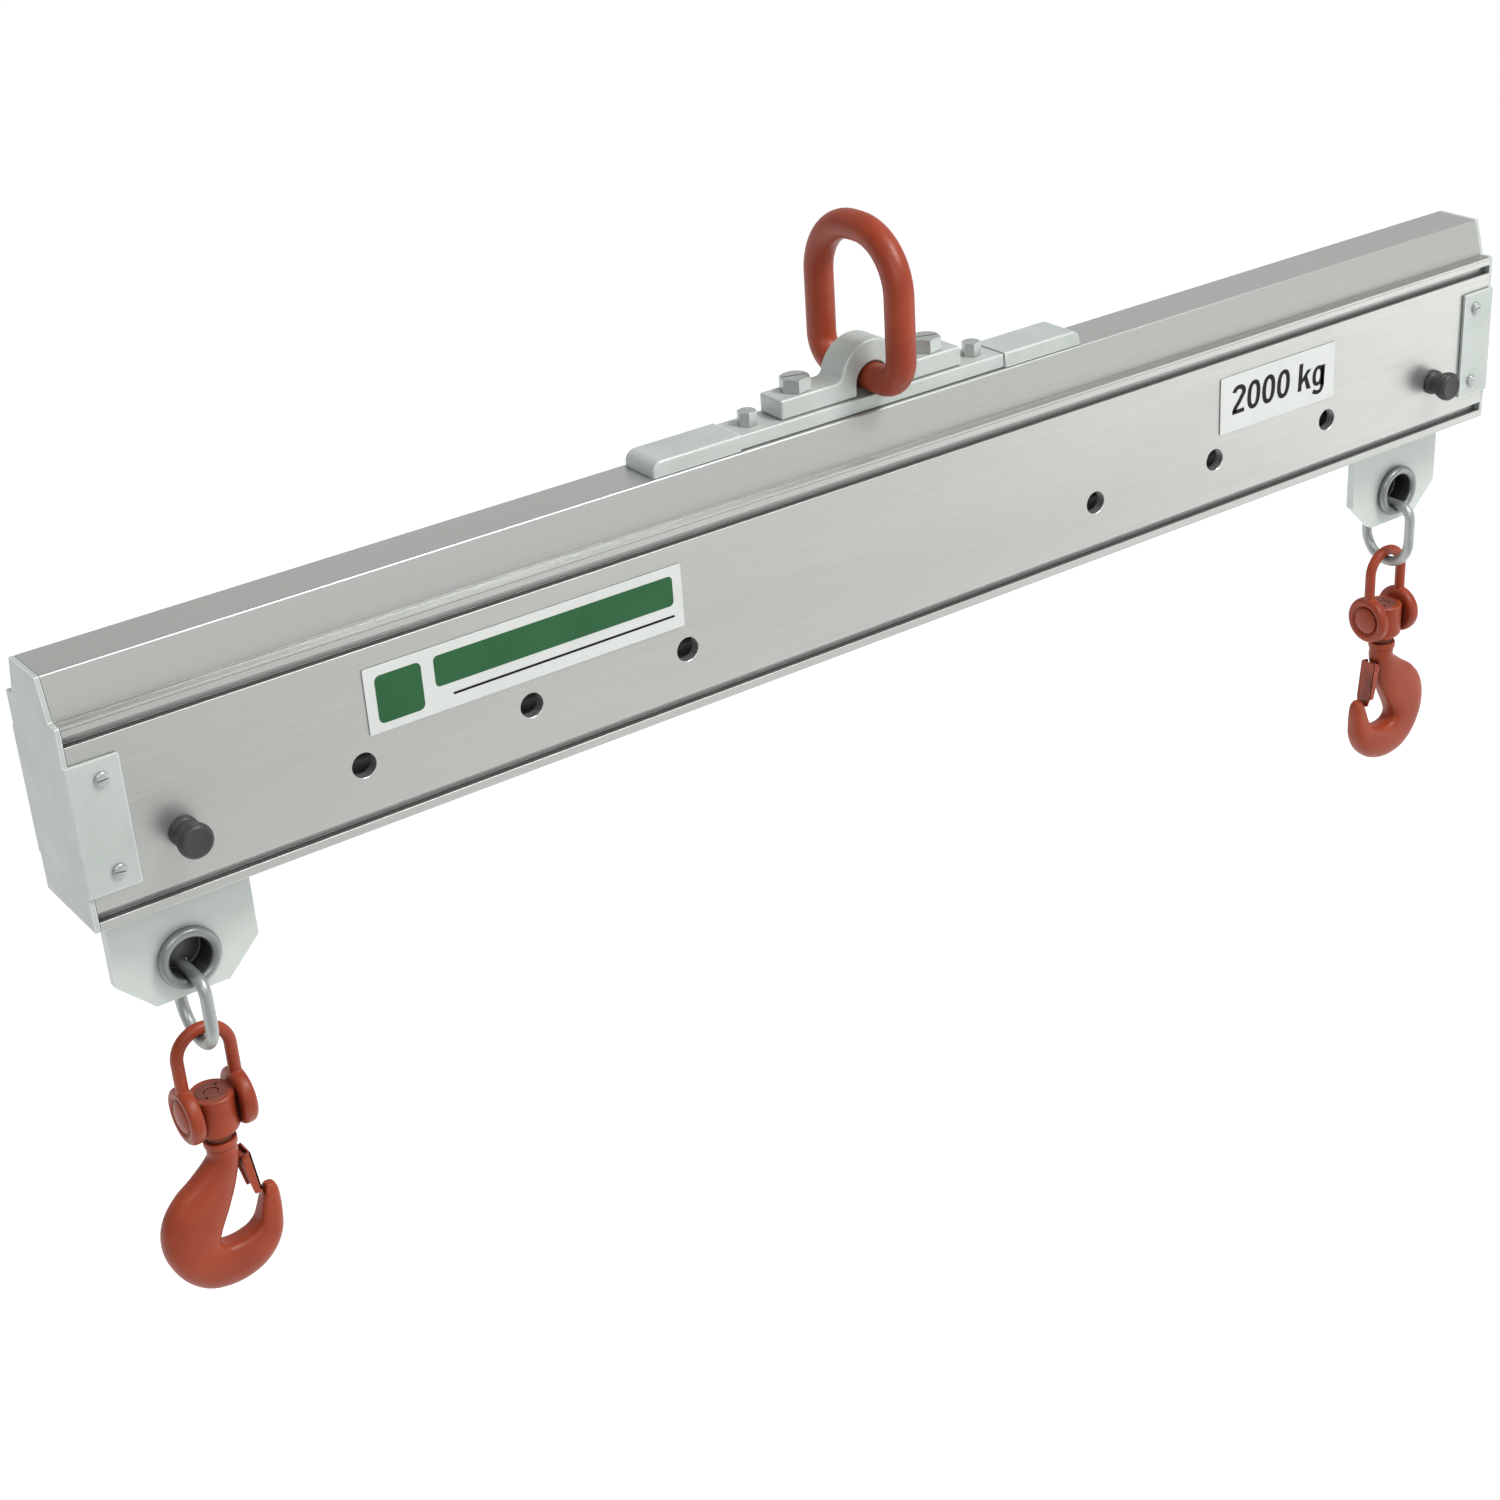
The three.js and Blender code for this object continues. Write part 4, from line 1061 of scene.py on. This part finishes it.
def pin_shank(node):
    low, high = corners(node)
    radius = (high.z - low.z) / 2
    profile = [(0, low.y), (6, low.y), (6, -44), (radius, -44), (radius, high.y - 3.2)]
    profile += [(radius - 0.3, high.y - 2.6), (radius - 2.6, high.y - 0.3), (radius - 3.2, high.y)]
    profile += [(3.2, high.y), (2.0, high.y - 1.2), (0, high.y - 1.2)]
    work = turned(profile, "y", 64)
    ball_low, ball_high = corners(node.replace("shank", "ball"))
    ball_y = (ball_low.y + ball_high.y) / 2
    cut(work, peg("z", (0, ball_y, 0), 2.8, 5, radius + 2, 32))
    return move(soften(work, 0.2, 2, 55), (low.x + high.x) / 2, 0, PIN_HEIGHT)


def pin_ball(node):
    low, high = corners(node)
    radius = (high.z - low.z) / 2
    profile = [(radius * math.cos(math.radians(a)), radius * math.sin(math.radians(a)))
               for a in range(-90, 91, 10)]
    profile[0], profile[-1] = (0, -radius), (0, radius)
    middle = (low + high) / 2
    return move(turned(profile, "z", 32), *middle)


def pin_knob(node):
    """A moulded knob: base lip, waist, flared head with a round rim and a dished end."""
    low, high = corners(node)
    face, end = high.y, low.y
    bore, depth = 6.3, 17
    flare = smooth_line([(10.7, face - 4.6), (10.8, face - 8), (11.9, face - 12.2),
                         (13.4, face - 16)], 5)
    rim = smooth_line([(13.4, face - 16), (14, face - 19.4), (13.5, face - 22.8),
                       (11.6, end + 0.25), (10.4, end)], 6)
    profile = [(0, face - depth), (bore, face - depth), (bore, face), (11.5, face),
               (12, face - 0.5), (12, face - 3.3), (11.5, face - 3.9)]
    profile += [tuple(point) for point in flare + rim[1:]]
    profile += [(8.6, end + 0.1), (8.1, end + 0.5), (0, end + 0.5)]
    return move(turned(profile, "y", 72), (low.x + high.x) / 2, 0, PIN_HEIGHT)


for side_name, _ in SIDES:
    # The lug plate's lighter zinc is painted light against the shade under the rail.
    hand_over(lug(f"{side_name}_lug"), f"{side_name}_lug_plate", "beam", f"{side_name}_lug",
              LIGHTENED_ZINC)
    hand_over(lug_bush(f"{side_name}_lug_bush"), f"{side_name}_rolled_bush", "beam",
              f"{side_name}_lug_bush", BUSH, smooth=40)
    hand_over(pin_shank(f"{side_name}_pin_shank"), f"{side_name}_lock_pin", f"{side_name}_pin",
              f"{side_name}_pin_shank", PIN)
    hand_over(pin_ball(f"{side_name}_pin_ball"), f"{side_name}_detent_ball", f"{side_name}_pin",
              f"{side_name}_pin_ball", PIN, flat_shaded=False)
    hand_over(pin_knob(f"{side_name}_pin_knob"), f"{side_name}_knob", f"{side_name}_pin",
              f"{side_name}_pin_knob", BLACK, smooth=40)


# ---------------------------------------------------------------- swivel hooks

TRUNNION = pivot("right_swivel_tilt").z
BOW_WIRE = 10.6
BOW_HALF = 22.8
EAR_RADIUS = 24.5
EAR_INNER, EAR_OUTER = 16.5, 29.0
NECK = 12.5
COLLAR = 13.8
LATCH_PIN_X = abs(pivot("right_latch_open").x - pivot("right_ring_swing").x)
LATCH_PIN_Z = pivot("right_latch_open").z


def latch_pin_hole():
    return peg("y", (LATCH_PIN_X, 0, LATCH_PIN_Z), 1.9, -20, 20, 28)


def bow(node):
    """Round bar over the top, running into two dished ears."""
    low, high = corners(node)
    top = high.z - BOW_WIRE / 2
    foot = TRUNNION + EAR_RADIUS - 6
    path = [Vector((BOW_HALF, 0, foot))]
    path += [Vector((x, 0, z)) for x, z in arc((0, top - BOW_HALF), BOW_HALF, 0, 180, 40)]
    path += [Vector((-BOW_HALF, 0, foot))]
    work = swept(path, BOW_WIRE / 2, False, 36, across=Vector((0, 1, 0)))
    rim = [(6, EAR_INNER), (EAR_RADIUS - 4.5, EAR_INNER)]
    rim += arc((EAR_RADIUS - 4.5, EAR_INNER + 4.5), 4.5, 270, 360, 8)
    rim += arc((EAR_RADIUS - 5, EAR_OUTER - 5), 5, 0, 118, 12)
    rim += [(15.3, EAR_OUTER - 2.4), (15.1, EAR_OUTER - 3), (6, EAR_OUTER - 3)]
    for side in (1, -1):
        ear = turned([(radius, side * along) for radius, along in rim], "x", 96)
        join(work, move(ear, 0, 0, TRUNNION))
    forge(work, 0.62, 5)
    drill = peg("x", (0, 0, TRUNNION), 5.9, -40, 40, 40)
    return move(cut(work, drill), (low.x + high.x) / 2, 0, 0)


def trunnion_pin(node, side):
    """The stub pin's shank, and its broad domed head in the dish of the ear."""
    low, high = corners(node)
    x = pivot("right_ring_swing").x * (1 if low.x > 0 else -1)
    reach = max(abs(low.x - x), abs(high.x - x))
    root = min(abs(low.x - x), abs(high.x - x))
    seat = EAR_OUTER - 2.7
    dome = [(14 * math.cos(math.radians(a)), seat + 0.6 + (reach - seat - 0.6)
             * math.sin(math.radians(a))) for a in range(0, 90, 9)]
    profile = [(0, root), (4.6, root), (5.2, root + 0.6), (5.2, seat), (13.8, seat)] + dome
    profile += [(0, reach)]
    work = turned([(radius, side * along) for radius, along in profile], "x", 72)
    return move(work, x, 0, TRUNNION)


def swivel_body(node):
    """A round body with flats towards the ears, a tapered foot and a seat for the nut."""
    low, high = corners(node)
    bore, seat, radius = 7.3, high.z - 4.8, (high.y - low.y) / 2
    profile = [(bore, low.z), (11.6, low.z), (radius - 1.4, low.z + 4.6),
               (radius, low.z + 6.8), (radius, high.z - 0.9), (radius - 0.9, high.z),
               (13.3, high.z), (13.3, seat), (bore, seat)]
    work = turned(profile, "z", 96)
    flat = high.x - (low.x + high.x) / 2
    tools = []
    for side in (1, -1):
        x = sorted((side * flat, side * 40))
        tools.append(block(x, (-40, 40), (low.z - 5, high.z + 5)))
    cut(work, gather(tools))
    soften(work, 0.5, 2, 30)
    drills = [peg("x", (0, 0, TRUNNION), 5.6, 8.7, 30), peg("x", (0, 0, TRUNNION), 5.6, -30, -8.7)]
    for angle in (25, 75, 118, 160, 205, 250, 292, 338):
        spot = Vector((math.cos(math.radians(angle)), math.sin(math.radians(angle)))) * 15.2
        if abs(spot.x) < flat - 1.5:
            drills.append(peg("z", (spot.x, spot.y, 0), 0.55, high.z - 0.7, high.z + 1, 12))
    return move(cut(work, gather(drills)), (low.x + high.x) / 2, 0, 0)


def swivel_nut(node):
    """A flush nut with two spanner holes and a few punch marks."""
    low, high = corners(node)
    bore = 6.3
    profile = [(bore, low.z), (13, low.z), (13, high.z - 0.3), (12.7, high.z),
               (bore + 0.4, high.z), (bore, high.z - 0.4)]
    work = turned(profile, "z", 96)
    holes = [(9.6, 45, 1.6), (9.6, 225, 1.6), (10.8, 130, 0.6), (8.4, 160, 0.5), (11.2, 300, 0.6),
             (8.8, 330, 0.5), (11.4, 10, 0.5)]
    drills = [peg("z", (r * math.cos(math.radians(a)), r * math.sin(math.radians(a)), 0), size,
                  high.z - 2.6 * size, high.z + 1, 24) for r, a, size in holes]
    return move(cut(work, gather(drills)), (low.x + high.x) / 2, 0, 0)


def thrust_washer(node):
    low, high = corners(node)
    profile = [(7.3, low.z), (10.4, low.z), (10.6, low.z + 0.3), (10.6, high.z - 0.3),
               (10.4, high.z), (7.3, high.z)]
    return move(turned(profile, "z", 64), (low.x + high.x) / 2, 0, 0)


# From neck to tip: outer edge, inner edge (sideways from the swivel's axis, and height), and
# half thickness across the beam
HOOK_LINE = [
    (-12.5, -250, 12.5, -250, 12.5), (-13.5, -258, 12.5, -262, 12.5),
    (-30, -271.5, 5.5, -286, 12.5), (-45.7, -282.5, -2, -302, 12.8),
    (-58.3, -298.5, -9, -315, 13), (-63.3, -317.4, -14, -325, 13.2),
    (-61, -338, -16.5, -333, 13.4), (-50, -360, -14, -338, 13.6),
    (-32, -375.3, -9.5, -340, 13.6), (-8, -380, -3, -340.5, 13.4),
    (14, -375, 4, -339.8, 13), (29.5, -363, 11.5, -337.5, 12.2),
    (38, -347, 17.5, -332.5, 11.2), (40.4, -330, 20.8, -325.5, 9.8),
    (40.8, -318, 24, -316, 8.4), (40.2, -308.5, 26.8, -307.5, 7), (37.9, -302.4, 30.2, -301.8, 4),
]


def hook_section(line, share, steps=44):
    """One slice of the forging: round in the back, flat in the cheeks, broad at the saddle."""
    outer = Vector((line[0], 0, line[1]))
    inner = Vector((line[2], 0, line[3]))
    thickness = line[4]
    middle, reach = (outer + inner) / 2, (inner - outer) / 2
    fullness = min(1.0, max(0.0, share * 6 - 0.3))
    ring = []
    for k in range(steps):
        angle = FULL_TURN * k / steps
        c, s = math.cos(angle), math.sin(angle)
        power = 1 - fullness * (0.42 if c > 0 else 0.2)
        along = math.copysign(abs(c) ** power, c)
        across = math.copysign(abs(s) ** power, s)
        ring.append(middle + reach * along + Vector((0, thickness * across, 0)))
    return ring


def hook(node, throat):
    """The forging with its latch boss, and the turned collar and stem above it."""
    lines = smooth_line(HOOK_LINE, 6)
    rings = [hook_section(line, i / len(lines)) for i, line in enumerate(lines)]
    work = lofted(rings, False)
    join(work, peg("y", (LATCH_PIN_X, 0, LATCH_PIN_Z), 4.2, -4, 4, 40))
    forge(work, 0.75, 6)
    collar_top, collar_foot = -240.8, -247.5
    nut_seat = corners(node)[1].z - 4.2
    stem = [(0, -256), (NECK - 0.4, -256), (NECK, -250), (NECK, collar_foot),
            (COLLAR - 0.5, collar_foot)]
    stem += arc((COLLAR - 1.2, collar_foot + 1.2), 1.2, 270, 360, 4)
    stem += arc((COLLAR - 1.2, collar_top - 1.2), 1.2, 0, 90, 4)
    stem += [(7, collar_top), (7, nut_seat), (0, nut_seat)]
    join(work, turned(stem, "z", 80))
    cut(work, latch_pin_hole())
    if throat < 0:
        mirror_x(work)
    return move(work, pivot(node.replace("hook", "ring_swing")).x, 0, 0)


def stem_end(node):
    """The stem's riveted end inside the nut, worn dark like the nut."""
    top = corners(node)[1].z
    seat = top - 4.4
    profile = [(0, seat), (6, seat), (6, top - 0.6), (5.4, top), (1.4, top), (0, top - 0.9)]
    return move(turned(profile, "z", 56), pivot(node.replace("hook", "ring_swing")).x, 0, 0)


def latch(node, throat):
    """Folded sheet: a flat back that closes on the tip, and two flanges that hold the pin."""
    x = pivot(node.replace("latch", "ring_swing")).x
    top, tip = Vector((19.6, -261.0)), Vector((25.4, -309.5))
    down = (tip - top).normalized()
    inward = Vector((down.y, -down.x))
    if inward.x > 0:
        inward = -inward
    length = (tip - top).length
    sheet, half = 1.4, 8.6

    def spot(along, y, depth):
        flat = top + down * along + inward * depth
        return Vector((flat.x, y, flat.y))

    back = rounded([(0, -half), (length * 0.8, -half), (length, -half + 1.8),
                    (length, half - 1.8), (length * 0.8, half), (0, half)],
                   [0, 3, 2.5, 2.5, 3, 0], 4)
    flange = rounded([(0, 0), (length * 0.83, 0), (length * 0.83, 6.6), (length * 0.30, 9.0),
                      (length * 0.14, 9.6), (0, 8.6)], [0.3, 0.3, 1.2, 6, 3, 1.5], 5)

    def plate(outline, place):
        bm = bmesh.new()
        near = [bm.verts.new(place(a, b, 0)) for a, b in outline]
        far = [bm.verts.new(place(a, b, sheet)) for a, b in outline]
        bm.faces.new(near)
        bm.faces.new(far)
        for i in range(len(outline)):
            j = (i + 1) % len(outline)
            bm.faces.new((near[i], near[j], far[j], far[i]))
        return solid(bm)

    work = plate(back, spot)
    for side in (1, -1):
        join(work, plate(flange, lambda a, depth, thick: spot(a, side * (half - thick), depth)))
    soften(work, 0.45, 3, 50)
    cut(work, latch_pin_hole())
    if throat < 0:
        mirror_x(work)
    return move(work, x, 0, 0)


def latch_pin(node):
    """A rivet with a low head on each flange."""
    low, high = corners(node)
    radius, end = 1.6, high.y
    head = [(2.5, end - 0.9), (2.5, end - 0.5), (2.0, end - 0.1), (0, end)]
    profile = [(0, -end)] + [(r, -y) for r, y in reversed(head[:-1])]
    profile += [(radius, 0.9 - end), (radius, end - 0.9)] + head
    middle = (low + high) / 2
    return move(turned(profile, "y", 36), middle.x, 0, middle.z)


def latch_spring(node, throat):
    """A coil around the rivet, with a short leg towards the latch and one up the hook."""
    low, high = corners(node)
    middle = (low + high) / 2
    wire, radius, turns = 0.42, 3.1, 2.6
    front, back = low.y + wire, high.y - wire
    path = []
    steps = 60
    for i in range(steps + 1):
        angle = FULL_TURN * turns * i / steps + 0.9
        path.append(Vector((radius * math.cos(angle), front + (back - front) * i / steps,
                            radius * math.sin(angle))))
    path = [path[0] + Vector((-1.0, 0, 5.0))] + path + [path[-1] + Vector((2.0, 0, -0.1))]
    curve = bpy.data.curves.new("coil", "CURVE")
    curve.dimensions = "3D"
    curve.bevel_depth = wire
    curve.bevel_resolution = 3
    curve.use_fill_caps = True
    spline = curve.splines.new("POLY")
    spline.points.add(len(path) - 1)
    for point, place in zip(spline.points, path):
        point.co = (*place, 1)
    coil = bpy.data.objects.new("coil", curve)
    bpy.context.scene.collection.objects.link(coil)
    graph = bpy.context.evaluated_depsgraph_get()
    mesh = bpy.data.meshes.new_from_object(coil.evaluated_get(graph))
    bpy.data.objects.remove(coil)
    bpy.data.curves.remove(curve)
    work = bpy.data.objects.new("work", mesh)
    bpy.context.scene.collection.objects.link(work)
    if throat < 0:
        mirror_x(work)
    return move(work, middle.x, 0, middle.z)


for side_name, side in SIDES:
    throat = -side
    own = f"{side_name}_"
    hand_over(bow(own + "bow"), own + "forged_bow", own + "bow", own + "bow", ORANGE,
              smooth=60, flat_shaded=False)
    for place, way in (("inner", -side), ("outer", side)):
        hand_over(trunnion_pin(f"{own}{place}_trunnion_pin", way), f"{own}{place}_domed_pin",
                  own + "swivel", f"{own}{place}_trunnion_pin", ORANGE)
    hand_over(swivel_body(own + "swivel_body"), own + "swivel_block", own + "swivel",
              own + "swivel_body", ORANGE)
    hand_over(thrust_washer(own + "thrust_washer"), own + "washer", own + "swivel",
              own + "thrust_washer", UMBER)
    hand_over(swivel_nut(own + "swivel_nut"), own + "flush_nut", own + "hook",
              own + "swivel_nut", UMBER)
    hand_over(hook(own + "hook", throat), own + "forged_hook", own + "hook", own + "hook", ORANGE,
              smooth=42, flat_shaded=False)
    hand_over(stem_end(own + "hook"), own + "stem_end", own + "hook", own + "hook", UMBER)
    hand_over(latch(own + "latch", throat), own + "safety_latch", own + "latch", own + "latch",
              ORANGE)
    hand_over(latch_pin(own + "latch_pin"), own + "latch_rivet", own + "hook", own + "latch_pin",
              ORANGE)
    hand_over(latch_spring(own + "latch_spring", throat), own + "latch_coil", own + "hook",
              own + "latch_spring", SPRING, flat_shaded=False)


# ---------------------------------------------------------------- floor, light and world

def make_floor():
    """A wide pale floor, well below and behind the hanging beam."""
    bm = bmesh.new()
    bmesh.ops.create_grid(bm, x_segments=2, y_segments=2, size=14)
    bmesh.ops.translate(bm, verts=bm.verts, vec=(0, 13.2, 0))
    mesh = bpy.data.meshes.new("floor")
    bm.to_mesh(mesh)
    bm.free()
    floor = bpy.data.objects.new("floor", mesh)
    floor.location.z = cad_box[0][2] - 1.1
    bpy.context.scene.collection.objects.link(floor)
    material, _, shader = new_material("pale floor", Roughness=0.9)
    shader.inputs["Base Color"].default_value = (0.9, 0.9, 0.9, 1)
    shader.inputs["Emission Color"].default_value = (1, 1, 1, 1)
    shader.inputs["Emission Strength"].default_value = 0.52
    floor.data.materials.append(material)


def area_light(name, place, target, size, power):
    data = bpy.data.lights.new(name, "AREA")
    data.shape = "RECTANGLE"
    data.size, data.size_y = size
    data.energy = power
    light = bpy.data.objects.new(name, data)
    light.location = place
    aim = Vector(target) - Vector(place)
    light.rotation_euler = aim.to_track_quat("-Z", "Y").to_euler()
    bpy.context.scene.collection.objects.link(light)


def make_world():
    """An even pale studio: dimmer overhead, brighter low down on the right."""
    world = bpy.data.worlds.new("studio")
    bpy.context.scene.world = world
    world.use_nodes = True
    tree = world.node_tree
    background = tree.nodes["Background"]
    coordinates = add_node(tree, "ShaderNodeTexCoord")
    split = add_node(tree, "ShaderNodeSeparateXYZ")
    link(tree, coordinates.outputs["Generated"], split.inputs[0])
    upper = add_node(tree, "ShaderNodeValToRGB")
    stops = upper.color_ramp.elements
    stops[0].color = (0.63, 0.635, 0.63, 1)
    stops[1].color = (0.50, 0.505, 0.50, 1)
    middle = stops.new(0.46)
    middle.color = (0.62, 0.625, 0.62, 1)
    link(tree, split.outputs["Z"], upper.inputs["Fac"])
    lower = add_node(tree, "ShaderNodeValToRGB")
    stops = lower.color_ramp.elements
    stops[0].position, stops[0].color = 0.15, (0.66, 0.665, 0.66, 1)
    stops[1].position, stops[1].color = 0.48, (1.0, 1.005, 1.0, 1)
    link(tree, split.outputs["X"], lower.inputs["Fac"])
    below = remap(tree, split.outputs["Z"], -0.05, -0.35, 0.0, 1.0)
    colour = mix_colours(tree, below, upper.outputs["Color"], lower.outputs["Color"])
    link(tree, colour, background.inputs["Color"])
    link(tree, remap(tree, split.outputs["X"], -0.9, 0.0, 0.6, 1.0), background.inputs["Strength"])


make_floor()
make_world()
area_light("key", (1.2, -2.2, 3.0), (0.1, 0, -0.3), (1.3, 1.3), 118)
area_light("soft", (-1.9, -2.7, 1.5), (-0.1, 0, -0.25), (0.9, 0.9), 20)
area_light("low", (3.2, -2.4, -0.9), (0.5, 0, -0.25), (1.8, 1.2), 9)
bpy.context.scene.view_settings.view_transform = "Standard"
